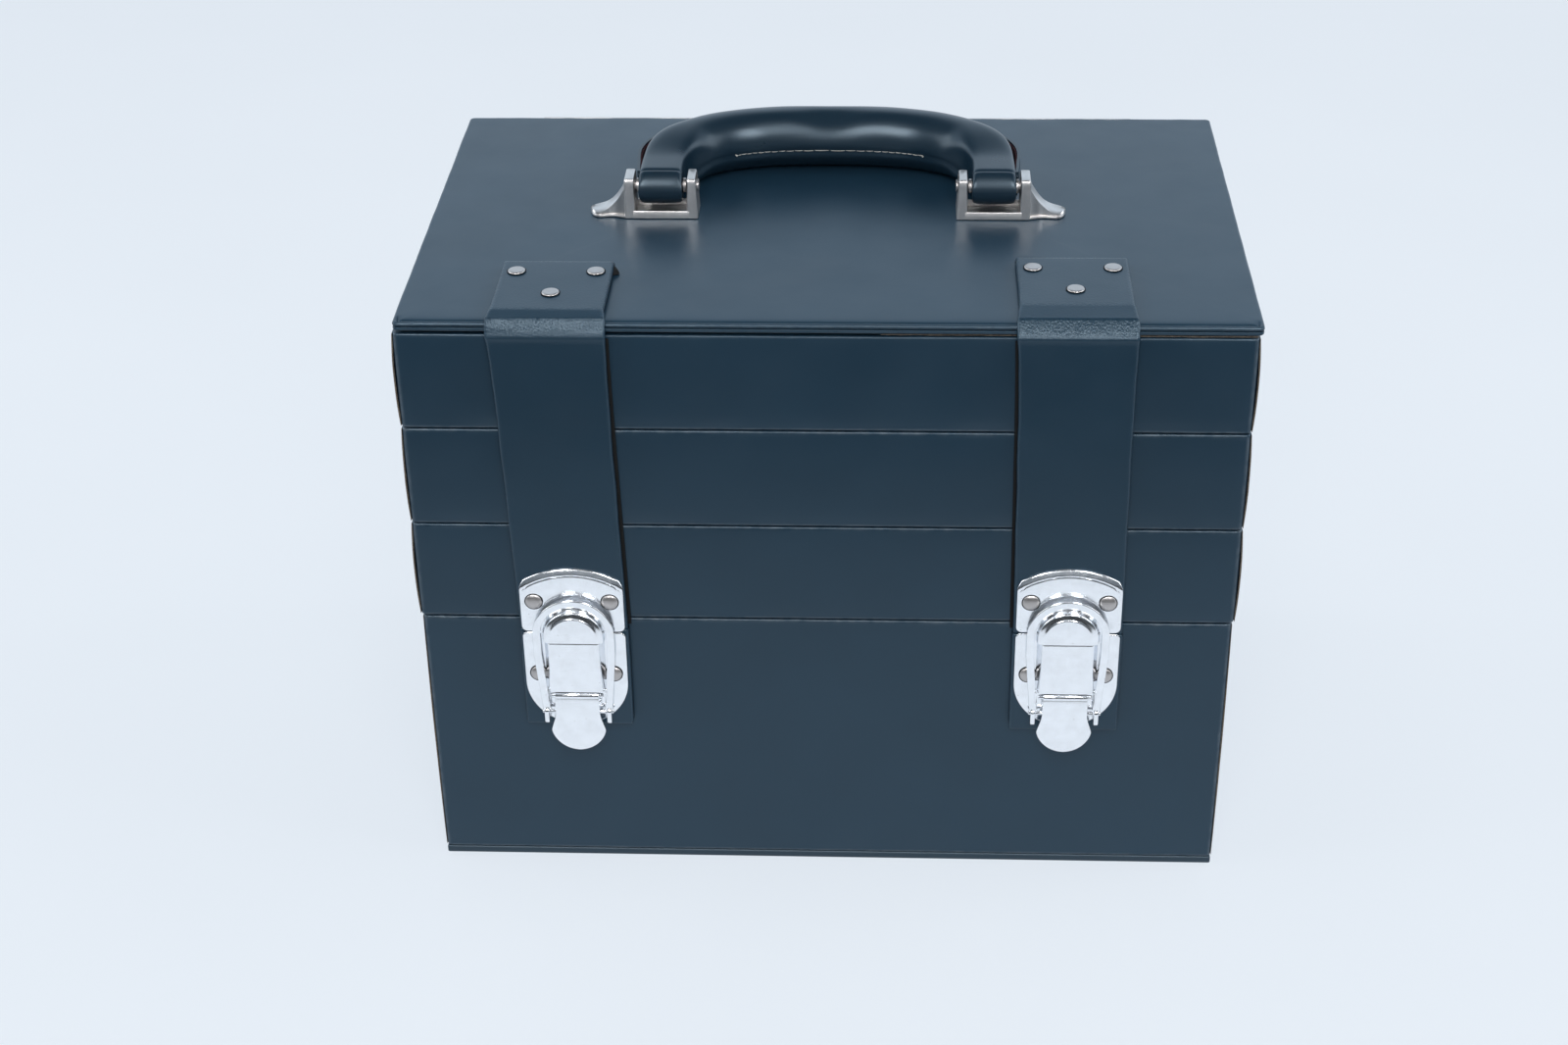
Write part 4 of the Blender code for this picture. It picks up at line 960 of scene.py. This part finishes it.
def make_latch_plate(side):
    """The plate on the base and the cover that the lever turns in."""
    facts = strap_facts(side)
    half = arc(17.1, 107.6, 2.0, 90, 0, 5) + arc(0, 87.3, 19.1, 0, -90, 18)
    shape = sheet(Shape(), mirrored(half)[::-1], 0.85, latch_place(facts, PLATE_BACK), 0.3)
    add_cover(shape, latch_place(facts, 0.0))
    add_rod(shape, facts, LEVER_AXIS, [(0.0, -9.9), (0.6, -9.85), (0.88, -9.6)])
    shape.piece(f"latch_plate_{side}_catch", "base", "chrome", [CHROME], [f"latch_plate_{side}"], 50.0)


COVER_FRONT = 101.85
COVER_HALF = 9.7
COVER_THICK = 0.8
COVER_TOP = 107.0
COVER_FOOT = 85.3


def cover_section(z):
    """(across, out) of the channel at a height: its outside from left to right, then its inside."""
    half = COVER_HALF + 0.45 * smooth_step(z, 98.0, 86.0)
    radius = 1.1
    outside = [(-half - 1.5, 98.0), (-half - 0.75, 99.3), (-half - 0.1, COVER_FRONT - radius)]
    outside += arc(radius - half, COVER_FRONT - radius, radius, 180, 90, 5)[1:]
    outside += [(-half * 0.5, COVER_FRONT), (0.0, COVER_FRONT + 0.03)]
    outside += [(-x, y) for x, y in reversed(outside[:-1])]
    inside = []
    for x, y in outside:
        sunk = COVER_THICK if y > 99.2 else 0.0
        inside.append((x * (half - COVER_THICK) / half, min(y, COVER_FRONT) - sunk))
    return outside, inside


def add_cover(shape, place):
    """The folded channel: closed at the top, open at its lower front, with an ear each side."""
    rings = []
    for z in (COVER_TOP, 106.85, 106.0, 104.0, 100.0, 96.0, 92.0, 89.0, 87.0, 86.0, COVER_FOOT):
        outside, inside = cover_section(z)
        pull = 0.05 if z == COVER_TOP else 0.0
        ring = [place(x * (1 - pull / 12), z, y - pull) for x, y in outside]
        rings.append(ring + [place(x, min(z, 106.2), y) for x, y in reversed(inside)])
    shape.loft(rings)
    edge_x = cover_section(COVER_FOOT)[0][0][0]
    for sign in (-1, 1):
        add_ear(shape, place, sign, edge_x)
    lid = cover_section(106.9)[0]
    shape.loft([[place(x, z, y - 0.05) for x, y in lid] for z in (106.1, COVER_TOP)])


def add_ear(shape, place, sign, edge_x):
    """One ear of the cover, which carries the lever's pin."""
    x1 = abs(edge_x) - 0.22
    x0 = x1 - 0.75
    outline = [(98.1, 85.6), (101.0, 85.6), (101.3, 84.0), (100.9, 80.5)]
    outline += [(99.9, 78.2), (98.6, 77.6), (98.1, 77.7)]
    rings = []
    for x, shrink in ((x0, 0.15), (x0 + 0.15, 0.0), (x1 - 0.15, 0.0), (x1, 0.15)):
        rings.append([place(sign * x, z, y) for y, z in inset(outline[::-1], shrink)])
    shape.loft(rings)


def add_rod(shape, facts, axis, half_profile, steps=16):
    """A turned rod across a latch, about an axis given as (y, z)."""
    x, y, z = facts["latch_x"], axis[0], facts["latch_dz"] + axis[1]
    lathe(shape, both_ends(half_profile), lambda across, up, out: (x + out, y + across, z + up), steps)


def make_lever(side):
    """The flared tongue, curled round its pin at the top, with the bail's cross pin behind it."""
    facts = strap_facts(side)
    bottom, flare = 59.2, 10.3
    drop = 68.0 - bottom
    tip = (flare**2 + drop**2) / (2 * drop)
    sweep = math.degrees(math.asin(flare / tip))
    half = [(8.1, 83.0), (8.35, 82.4)]
    half += [(lerp(8.35, flare, smooth_step(z, 75.5, 67.0)), z) for z in spread(80.0, 68.6, 9)]
    half += arc(0, bottom + tip, tip, sweep - 90, -90, 14)
    shape = Shape()
    add_tongue(shape, half, latch_place(facts, 0.0))
    add_rod(shape, facts, LEVER_AXIS, [(1.0, -8.2), (1.38, -8.15), (1.5, -7.95)], 28)
    add_rod(shape, facts, BAIL_AXIS, [(0.0, -13.5), (0.5, -13.45), (0.75, -13.2)])
    add_rod(shape, facts, BAIL_AXIS, [(1.2, -8.1), (1.3, -7.9)])
    shape.piece(f"lever_{side}_tongue", f"lever_{side}", "chrome", [CHROME], [f"lever_{side}"], 50.0)


def add_tongue(shape, half, place):
    """The lever's sheet, from the right half of its outline, with a curl at its top and a lip at its tip."""
    edge = 0.28
    rings = []
    for (ax, az), (bx, bz) in zip(half, half[1:]):
        wide, z = (ax + bx) / 2, (az + bz) / 2
        if wide <= 0.4:
            continue
        curl = -0.35 * smooth_step(z, 81.0, 82.6)
        lip = 0.25 * smooth_step(z, 64.0, 59.0) + 0.1 * math.exp(-((z - 70.0) / 4.0) ** 2)
        back = 101.1 + curl + lip
        front = back + 0.8
        right = [(wide - edge * (1 - math.cos(t)), back + edge * (1 - math.sin(t))) for t in QUARTER[::-1]]
        right += [(wide - edge * (1 - math.cos(t)), front - edge * (1 - math.sin(t))) for t in QUARTER]
        ring = right + [(share * (wide - edge), front) for share in (0.8, 0.4, 0.0, -0.4, -0.8)]
        ring += [(-x, out) for x, out in reversed(right)]
        rings.append([place(x, z, out) for x, out in ring])
    shape.loft(rings)


def arch(legs, radius):
    """An arch over a right leg and its mirror image, from foot to foot."""
    return legs + arc(0, 109.8, radius, 0, 180, 36) + [(-x, z) for x, z in reversed(legs)]


def make_bail(side):
    """The flat loop that the lever pulls down over the boss, with an edge-on tab at each foot."""
    facts = strap_facts(side)
    legs = [(13.1, 76.2), (13.35, 80.0), (14.6, 94.0), (BAIL_RADIUS, 101.0), (BAIL_RADIUS, 105.0)]
    inner = [(x - BAIL_STRIP, z) for x, z in legs]
    outline = arch(legs, BAIL_RADIUS) + arch(inner, BAIL_RADIUS - BAIL_STRIP)[::-1]
    shape = sheet(Shape(), outline, 1.0, latch_place(facts, -99.6), 0.32)
    y0, z0 = BAIL_AXIS[0], facts["latch_dz"] + BAIL_AXIS[1]
    tab = arc(0, 0.3, 1.6, 0, 180, 10) + arc(0, -3.5, 1.6, 180, 360, 10)
    for sign in (-1, 1):
        middle = facts["latch_x"] + sign * 11.75
        rings = []
        for out, shrink in ((-0.9, 0.25), (-0.65, 0.0), (0.65, 0.0), (0.9, 0.25)):
            rings.append([(middle + out, y0 + y, z0 + z) for y, z in inset(tab, shrink)])
        shape.loft(rings)
    shape.piece(f"bail_{side}_loop", f"bail_{side}", "chrome", [CHROME], [f"bail_{side}"], 50.0)


# ---------------------------------------------------------------- rivets

# A near-black ring just under a rivet head: a painted contact shadow.
PAINTED_SHADOW_RING = [(0.0, 0.02), (3.1, 0.04), (3.36, 0.05), (3.42, 0.02), (3.4, -0.2), (0.0, -0.2)]
FLAT_HEAD = (
    ((0.0, 0.42), (1.4, 0.415), (2.4, 0.40), (2.9, 0.34), (3.1, 0.14))
    + ((3.15, 0.0), (3.0, -0.28), (1.2, -0.3), (1.2, -5.5))
)
DOMED_HEAD = (
    ((0.0, 0.86), (0.9, 0.84), (1.8, 0.73), (2.5, 0.52), (2.95, 0.26))
    + ((3.15, -0.05), (3.1, -0.28), (1.2, -0.3), (1.2, -5.0))
)


def rivet_place(name):
    """A function that turns (across, up, out) at one rivet into a point."""
    low, high = corners(name)
    middle = (low + high) / 2
    if name.startswith("strap"):
        tilt = 0.03 * wave(middle.x, middle.y, 0.0, 3.0)
        base = high.z - 1.0
        return lambda across, up, out: (middle.x + across, middle.y + up, base + out + tilt * across)
    return lambda across, up, out: (middle.x + across, low.y + 1.0 - out, middle.z + up)


def make_rivets():
    """Flat worn discs on the straps, and domed bright heads on the latches, each over a thin near-black ring
    of painted contact shadow.
    """
    for name in sorted(node for node in frame["nodes"] if "_rivet_" in node):
        place = rivet_place(name)
        shape = lathe(Shape(), FLAT_HEAD if name.startswith("strap") else DOMED_HEAD, place, 36)
        # A thin near-black ring under each head: painted contact shadow.
        lathe(shape, PAINTED_SHADOW_RING, place, 36, 1)
        body = "base" if name.startswith("latch_plate") else "lid"
        shape.piece(name + "_head", body, "rivet_nickel", [RIVET, EDGE_BLACK_AND_PAINTED_SHADE], [name], 60.0)


# ---------------------------------------------------------------- handle

PIN_Z = 244.3
HANDLE_Y = -0.5
HANDLE_X = -0.9
GRIP_R = 11.4
GRIP_SPAN = 62.0
SEAM_ANGLE = -9.0
LOOP_STATIONS = (-7.05, -6.75, -6.1, -5.0, -3.6, -2.6, -2.0, -1.6, -1.2, -0.8, -0.3, 1.0, 4.0, 8.0)
BRACKET_BASE = 233.42


def squared(angle, width, thick, power):
    """A point at an angle in radians on a section between an ellipse and a rectangle."""
    c, s = math.cos(angle), math.sin(angle)
    u = math.copysign(abs(c) ** (2 / power), c) * width
    return u, math.copysign(abs(s) ** (2 / power), s) * thick


def grip_path():
    """Stations (x, y) along the middle of the grip, from its left loop to its right loop."""
    bow = [squared(math.pi * (1 - step / 120), GRIP_SPAN, 42.0, 2.6) for step in range(121)]
    points = [(x, 6.0 + along) for x, along in bow if 6.0 + along > 9.5]
    left = [(-GRIP_SPAN, y) for y in LOOP_STATIONS]
    return left + points + [(GRIP_SPAN, y) for y in reversed(LOOP_STATIONS)]


def grip_measures(x, y):
    """Half width, half thickness and squareness of the grip's section at a point of its path."""
    full = smooth_step(y, 11.0, 37.0) if abs(x) > 30 else 1.0
    width = lerp(8.1, GRIP_R - 0.1, full)
    thick = lerp(6.8, GRIP_R, full)
    if y < 0:
        thick = max(0.3, math.sqrt(max(0.0, 7.1**2 - y**2)) * 0.96)
    crease = 0.4 * math.exp(-(((y + 1.2) / 0.6) ** 2)) if abs(x) > 40 else 0.0
    square = lerp(7.0, 2.0, full)
    return width - 0.5 * crease, thick - crease, square


def grip_dent(x, y, angle):
    """How far the leather sinks (or swells) along the hand's side of the grip."""
    full = smooth_step(y, 20.0, 34.0)
    face = math.exp(-(((angle - 60) / 32.0) ** 2))
    dip = -1.4 * math.exp(-((x / 9.0) ** 2)) + 0.6 * math.exp(-(((abs(x) - 22) / 11.0) ** 2))
    seam = -0.55 * math.exp(-(((angle + 9) / 3.4) ** 2))
    low = 0.25 * math.exp(-(((angle + 22) / 9.0) ** 2))
    return face * dip * full + (seam + low) * smooth_step(y, 9.0, 15.0)


def on_grip(x, y, ahead, u, v):
    """The point (u, v) of the section at a station, with u in the arch's plane and v upright."""
    side = Vector((ahead.y, -ahead.x, 0.0))
    return Vector((HANDLE_X + x, HANDLE_Y + y, PIN_Z)) + side * u + Vector((0, 0, v))


def grip_ring(x, y, ahead):
    """The grip's section at one station, as points round from the concave side."""
    width, thick, square = grip_measures(x, y)
    ring = []
    for a in divided(72):
        u, v = squared(a, width, thick, square)
        angle = math.degrees(a) if a <= math.pi else math.degrees(a) - 360
        swell = grip_dent(x, y, angle) + 0.05 * wave(x, angle / 8, y, 9.0) * (y > 8)
        grow = 1 + swell / max(math.hypot(u, v), 1.0)
        ring.append(tuple(on_grip(x, y, ahead, u * grow, v * grow)))
    return ring


def make_grip():
    """The padded leather grip with its loops, seam and thread."""
    path = grip_path()
    shape = Shape().loft([grip_ring(x, y, heading(path, i)) for i, (x, y) in enumerate(path)])
    grip = shape.piece("handle_grip_cover", "handle", "grip_leather", [GRIP], ["handle_grip"], 60.0)
    make_outer_band(path)
    make_stitches(path)


def make_outer_band(path):
    """A second layer of leather that stands off each shoulder, with its lining showing in the gap."""
    stations = [(GRIP_SPAN, y) for y in (2.0, 4.5, 7.0)]
    stations += [(x, y) for x, y in path if x > 0 and 9.5 < y < 37.0][::-1]
    for sign, name in ((-1, "left"), (1, "right")):
        shape = Shape()
        for depth, width, thick, slot in ((0.0, 6.6, 0.55, 0), (-0.85, 5.6, 0.25, 1)):
            rings = []
            for i, (x, y) in enumerate(stations):
                ahead = heading(stations, i)
                out = Vector((ahead.y, -ahead.x))
                share = i / (len(stations) - 1)
                gap = 2.2 * math.sin(math.pi * min(1.0, share * 1.15))
                lift = grip_measures(x, y)[0] + 0.35 + gap + depth
                wide = width * (1 - 0.5 * smooth_step(share, 0.7, 1.0))
                upper = [(thick + 0.2, 0), (thick, wide), (-thick, wide)]
                ring = []
                for u, v in [(-thick, -wide), (thick, -wide)] + upper:
                    spot = Vector((x, y)) + out * (lift + u)
                    ring.append((HANDLE_X + sign * spot.x, HANDLE_Y + spot.y, PIN_Z + v * 0.72))
                rings.append(ring)
            shape.loft(rings, slot)
        shape.piece(f"handle_band_{name}", "handle", "grip_leather", [GRIP, WINE], (), 60.0)


def seam_point(path, share, angle, lift):
    """A point on the grip's seam, from a share of its length and an angle round the section."""
    index = share * (len(path) - 1)
    i = min(int(index), len(path) - 2)
    here, beyond = Vector(path[i]), Vector(path[i + 1])
    x = lerp(path[i][0], path[i + 1][0], index - i)
    y = lerp(path[i][1], path[i + 1][1], index - i)
    width, thick, square = grip_measures(x, y)
    size = 1 + lift / GRIP_R
    u, v = squared(math.radians(angle), width * size, thick * size, square)
    return on_grip(x, y, (beyond - here).normalized(), u, v)


def make_stitches(path):
    """Thread along the seam on the hand's side, with a knot at each end."""
    shape = Shape()
    inner = [i for i, (x, y) in enumerate(path) if abs(x) <= 40.5 and y > 30]
    first, last = inner[0] / (len(path) - 1), inner[-1] / (len(path) - 1)
    count = 24
    for k in range(count):
        start = lerp(first, last, (k + 0.06) / count)
        end = lerp(first, last, (k + 0.94) / count)
        angle = SEAM_ANGLE + (0.25 if k % 2 else -0.25)
        lifts = zip(spread(start, end, 4), (-0.42, -0.24, -0.2, -0.24, -0.42))
        points = [seam_point(path, share, angle, lift) for share, lift in lifts]
        tube(shape, points, (0.12, 0.15, 0.16, 0.15, 0.12))
    for share in (first, last):
        centre = seam_point(path, share, SEAM_ANGLE, -0.15)
        for turn in range(3):
            reach = Vector((0.55 - 0.4 * turn, 0.25 * turn, -0.4 + 0.35 * turn))
            tube(shape, [centre - reach, centre + reach * 0.2, centre + reach], (0.14, 0.3, 0.14))
    shape.piece("handle_stitches", "handle", "grip_leather", [THREAD], (), 60.0)


def add_slab(shape, place, x_range, half_range, levels):
    """A low block with softened top edges, from (height, inset) levels."""
    (x0, x1), (y0, y1) = x_range, half_range
    outline = [(x0, y0), (x1, y0), (x1, y1), (x0, y1)]
    shape.loft([[place(x, y, z) for x, y in inset(outline, pull)] for z, pull in levels])


def make_bracket(side):
    """A cast bracket: two cheeks, a floor with a raised rim, and a swept foot with a rounded paddle."""
    sign = -1 if side == "left" else 1
    base = BRACKET_BASE
    shape = Shape()

    def place(x, y, z):
        return (HANDLE_X + sign * x, HANDLE_Y + y, z)

    add_cheek(shape, place, 48.2, 52.4, 0.55)
    add_cheek(shape, place, 71.7, 75.7, 0.0)
    add_slab(shape, place, (50.0, 74.0), (-6.2, 6.2), ((base, 0.0), (base + 0.3, 0.0), (base + 0.4, 0.2)))
    for edge in ((-6.3, -5.5), (5.5, 6.3)):
        add_slab(shape, place, (51.5, 72.5), edge, ((base, 0.0), (base + 2.6, 0.0), (base + 2.82, 0.18)))
    add_foot(shape, place)
    shape.piece(f"handle_bracket_{side}_cast", "lid", "nickel", [NICKEL], [f"handle_bracket_{side}"], 45.0)
    make_handle_pin(side, sign)


def add_cheek(shape, place, x0, x1, taper):
    """One upright cheek with a rounded top and softened corners."""
    base, top = BRACKET_BASE, 248.62
    heights = [(base, 0.0), (base + 4, 0.1), (base + 9, 0.25), (top - 2.4, 0.35), (top - 1.2, 0.42)]
    heights += [(top - 0.5, 0.7), (top - 0.15, 1.15), (top, 1.7)]
    rings = []
    for z, pull in heights:
        lean = taper * (z - base) / (top - base)
        deep = 6.3 - 0.5 * pull - 0.5 * smooth_step(z, base, top)
        loop = rounded_loop((x0 + lean + 0.28 * pull, -deep), (x1 - 0.28 * pull, deep), 0.7, (3, 5))
        rings.append([place(x, y, z) for (x, y), _ in loop])
    shape.loft(rings)


def add_foot(shape, place):
    """The foot that sweeps down from the outer cheek and ends in a flat rounded paddle."""
    base, low, top = BRACKET_BASE, BRACKET_BASE + 1.9, 248.3
    ledge = base + 0.9
    rings = []
    for share in spread(0.0, 1.0, 26):
        height = low + (top - low) * (1 - share) ** 2.6
        neck = lerp(6.2, 4.6, smooth_step(share, 0.0, 0.45))
        end = math.sqrt(max(0.0, 1 - max(0.0, (share - 0.68) / 0.32) ** 2))
        half = max(0.25, lerp(neck, 5.4, smooth_step(share, 0.45, 0.8)) * end)
        crest = half * (0.80 if share < 0.5 else 0.86)
        dip = 0.35 * smooth_step(share, 0.35, 0.8)
        left = [(-half, base), (-half, ledge - 0.15), (-half + 0.15, ledge), (-crest - 0.05, ledge + 0.05)]
        left += [(-crest, max(ledge + 0.1, height - 0.7)), (-crest + 0.25 * half, height - 0.12)]
        left += [(-crest * 0.45, height - dip), (0.0, height - 1.3 * dip)]
        ring = left + [(-y, z) for y, z in reversed(left[:-1])]
        rings.append([place(lerp(74.2, 89.0, share), y, z) for y, z in ring])
    shape.loft(rings)


def make_handle_pin(side, sign):
    """The pin, with shoulders beside the loop and a thin head outside the inner cheek."""
    low, high = corners(f"handle_pin_{side}")
    half = (high.x - low.x) / 2
    centre = HANDLE_X + sign * GRIP_SPAN
    offset = sign * ((low.x + high.x) / 2 - centre)
    head = [(0.0, -half - 0.9), (1.9, -half - 0.85), (2.3, -half - 0.6)]
    head += [(2.35, -half - 0.3), (1.75, -half - 0.25)]
    tip = [(1.75, half - 0.3), (1.4, half), (0.0, half)]
    shoulders = both_ends([(1.75, -9.4), (2.6, -9.3), (2.7, -9.0), (2.7, -8.3), (1.75, -8.2)])
    profile = [(r, out + offset) for r, out in head] + shoulders + [(r, out + offset) for r, out in tip]
    shape = lathe(Shape(), profile, lambda a, u, out: (centre + sign * out, HANDLE_Y + a, PIN_Z + u), 24)
    shape.piece(f"handle_pin_{side}_steel", "lid", "rivet_nickel", [RIVET], [f"handle_pin_{side}"], 45.0)


# ---------------------------------------------------------------- arms and hinge

HINGE_Y, HINGE_Z = 95.3, 228.7
LEAF_BACK = 93.5
KNUCKLE_PITCH = 48.0
ARM_HALF = 6.0
ARM_BACK = 151.2
ARM_RIVET = (
    [(0.0, 3.15), (1.6, 3.02), (2.9, 2.68), (3.7, 2.25), (3.95, 1.95), (3.9, 1.5), (2.0, 1.4)]
    + [(2.0, -5.5), (3.6, -5.55), (3.95, -5.75), (3.9, -6.15), (3.3, -6.45), (0.0, -6.5)]
)


def make_arm(name):
    """A stamped link arm with soft edges and its two rivets."""
    stage, side, row = name.split("_")[1:]
    low, high = corners(name)
    sign = -1 if side == "left" else 1
    y0, y1 = high.y - ARM_HALF, low.y + ARM_HALF
    z0, z1 = low.z + ARM_HALF, high.z - ARM_HALF
    lean = math.atan2(z1 - z0, y1 - y0)
    length = math.hypot(y1 - y0, z1 - z0)
    outline = arc(length, 0, ARM_HALF, -90, 90, 12) + arc(0, 0, ARM_HALF, 90, 270, 12)
    waisted = [(u, v * (1 - 0.10 * math.exp(-(((u - length / 2) / 9.0) ** 2)))) for u, v in outline]
    c, s = math.cos(lean), math.sin(lean)

    def place(u, v, out):
        return (sign * (ARM_BACK + out), y0 + u * c - v * s, z0 + u * s + v * c)

    shape = sheet(Shape(), waisted, 2.0, place, 0.45)
    for at in (0.0, length):
        lathe(shape, ARM_RIVET, lambda across, up, out: place(at + across, up, out), 20)
    shape.piece(name + "_stamped", f"links_{stage}_{row}", "nickel", [NICKEL], [name], 50.0)


def make_hinge():
    """Two thin leaves with rolled knuckles, flat rivets and a pin right through."""
    make_leaf("tray", "tray_1", -1)
    make_leaf("lid", "lid", 1)
    low, high = corners("hinge_pin")
    y, z, half = (low.y + high.y) / 2, (low.z + high.z) / 2, (high.x - low.x) / 2
    profile = both_ends([(0.0, -half), (0.6, 0.1 - half), (0.78, 0.4 - half)])
    shape = lathe(Shape(), profile, lambda across, up, out: (out, y + across, z + up), 14)
    shape.piece("hinge_pin_steel", "tray_1", "nickel", [NICKEL], ["hinge_pin"], 45.0)


def make_leaf(owner, body, up):
    """One leaf of the strip hinge."""
    low, high = corners(f"hinge_leaf_{owner}")
    z0, z1 = (low.z, HINGE_Z - 2.1) if up < 0 else (HINGE_Z + 2.1, high.z)
    loop = rounded_loop((-119.9, z0), (119.9, z1), 0.8 if up > 0 else 1.6, (30, 4))
    shape = sheet(Shape(), [p for p, _ in loop], 0.8, lambda x, z, out: (-x, LEAF_BACK + out, z), 0.2)
    for index in range(0 if up < 0 else 1, 5, 2):
        add_knuckle(shape, -120 + (index + 0.5) * KNUCKLE_PITCH, KNUCKLE_PITCH / 2 - 0.3, up)
    if up < 0:
        dome = [(0.0, 0.75), (0.9, 0.7), (1.7, 0.5), (2.2, 0.15), (2.3, -0.1)]
        for x in spread(-105.0, 105.0, 6):
            lathe(shape, dome, lambda across, u, out: (x + across, LEAF_BACK + 0.8 + out, 220.6 + u), 20)
    shape.piece(f"hinge_leaf_{owner}_pressed", body, "nickel", [NICKEL], [f"hinge_leaf_{owner}"], 45.0)


def add_knuckle(shape, middle, half, up):
    """A knuckle rolled from the leaf, with its tab."""
    end = [(1.1, -half), (1.55, -half), (1.7, 0.15 - half)]
    rings = []
    for radius, x in both_ends(end):
        rings.append([(middle + x, y, z) for y, z in arc(HINGE_Y, HINGE_Z, radius, 0, 345, 23)])
    shape.torus(rings)
    front, back = LEAF_BACK, LEAF_BACK + 0.8
    tab = [(middle - half, front), (middle + half, front), (middle + half, back), (middle - half, back)]
    shape.loft([[(x, y, HINGE_Z + up * rise) for x, y in tab] for rise in (0.3, 2.4)])


# ---------------------------------------------------------------- stage, light and camera

FRONT_PLACE = (0.05, -1.24, 1.34)
CAMERA_PLACE = (0.0246, -0.8671, 0.6234)
SIGHT = (-0.0431, 0.8539, -0.5187)
CAMERA_UP = (-0.0094, 0.5188, 0.8548)


def make_stage():
    """A pale floor, soft studio light and the camera."""
    bpy.ops.mesh.primitive_plane_add(size=24.0, location=(0, 0, -0.0002))
    floor = bpy.context.active_object
    floor.name = "studio_floor"
    made, tree, shader, place = start_material("studio_floor", (0.19, 0.19, 0.19), 0.8)
    tone = remap(tree, noise_value(tree, place, 5.0, 2.0), 0.3, 0.7)
    glow = mix_colour(tree, tone, (0.606, 0.660, 0.724), (0.616, 0.670, 0.734))
    feed(tree, shader, Emission_Color=glow, Emission_Strength=1.0, Specular_IOR_Level=0.1)
    floor.data.materials.append(made)
    make_world()
    front = add_light("front", FRONT_PLACE, (0.0, -0.05, 0.2), (0.8, 0.95), 14.5)
    front.visible_glossy = False
    shine = add_light("shine", FRONT_PLACE, (0.0, -0.05, 0.2), (1.5, 0.9), 66.0)
    shine.visible_diffuse = False
    for side, x in (("left", -1.5), ("right", 1.5)):
        add_light(side, (x, -0.1, 1.0), (0.0, 0.0, 0.15), (1.1, 1.1), 10.0)
    overhead = add_light("overhead", (0.0, 0.05, 1.9), (0.0, 0.0499, 0.0), (1.6, 1.4), 3.0)
    overhead.visible_glossy = False
    make_dark_card()
    make_camera()


def make_dark_card():
    """A low dark card in front, unseen and without a shadow, which the upper fronts reflect."""
    bpy.ops.mesh.primitive_plane_add(size=1.0, location=(0, -0.40, 0.075), rotation=(math.radians(90), 0, 0))
    card = bpy.context.active_object
    card.name = "dark_card"
    card.scale = (2.0, 0.15, 1.0)
    card.data.materials.append(start_material("dark_card", (0.02, 0.02, 0.02), 0.9)[0])
    card.visible_camera = False
    card.visible_shadow = False


def add_light(name, place, target, size, power):
    data = bpy.data.lights.new(name, "AREA")
    data.shape = "RECTANGLE"
    data.size, data.size_y = size
    data.energy = power
    data.color = (0.98, 0.99, 1.0)
    light = bpy.data.objects.new(name, data)
    light.location = place
    aim = Vector(target) - Vector(place)
    light.rotation_euler = aim.to_track_quat("-Z", "Y").to_euler()
    bpy.context.scene.collection.objects.link(light)
    return light


def make_world():
    """A dim room that is brighter towards the backdrop."""
    world = bpy.data.worlds.new("studio")
    bpy.context.scene.world = world
    world.use_nodes = True
    tree = world.node_tree
    place = tree.nodes.new("ShaderNodeTexCoord").outputs["Generated"]
    parts = add_node(tree, "ShaderNodeSeparateXYZ", Vector=place)
    behind = remap(tree, parts.outputs["Y"], -0.5, 0.3, 0.17, 1.08)
    height = remap(tree, parts.outputs["Z"], 0.60, 0.82, 1.0, 0.06)
    strength = calculate(tree, "MULTIPLY", behind, height)
    shader = tree.nodes["Background"]
    shader.inputs["Color"].default_value = (0.78, 0.92, 1.06, 1.0)
    tree.links.new(strength, shader.inputs["Strength"])


def make_camera():
    """The camera, from its place, its line of sight and its upward direction."""
    forward = Vector(SIGHT).normalized()
    up = Vector(CAMERA_UP)
    up = (up - forward * up.dot(forward)).normalized()
    data = bpy.data.cameras.new("camera")
    data.lens = 57.70
    data.sensor_width = 36.0
    camera = bpy.data.objects.new("camera", data)
    turn = Matrix((forward.cross(up), up, -forward)).transposed().to_4x4()
    camera.matrix_world = Matrix.Translation(CAMERA_PLACE) @ turn
    bpy.context.scene.collection.objects.link(camera)
    bpy.context.scene.camera = camera
    bpy.context.scene.view_settings.view_transform = "Standard"


# ---------------------------------------------------------------- the box

make_stage()
make_base()
for tray in (1, 2, 3):
    make_tray(tray)
make_lid()
make_strap("left", -88.2, -93.5, (38.0, 68.0), 229.2)
make_strap("right", -83.1, -92.0, (38.0, 74.0), 229.9)
for latch in SIDES:
    make_pad(latch)
    make_keeper(latch)
    make_latch_plate(latch)
    make_lever(latch)
    make_bail(latch)
    make_bracket(latch)
make_rivets()
make_grip()
for arm in sorted(n for n in frame["nodes"] if n.startswith("arm_")):
    make_arm(arm)
make_hinge()
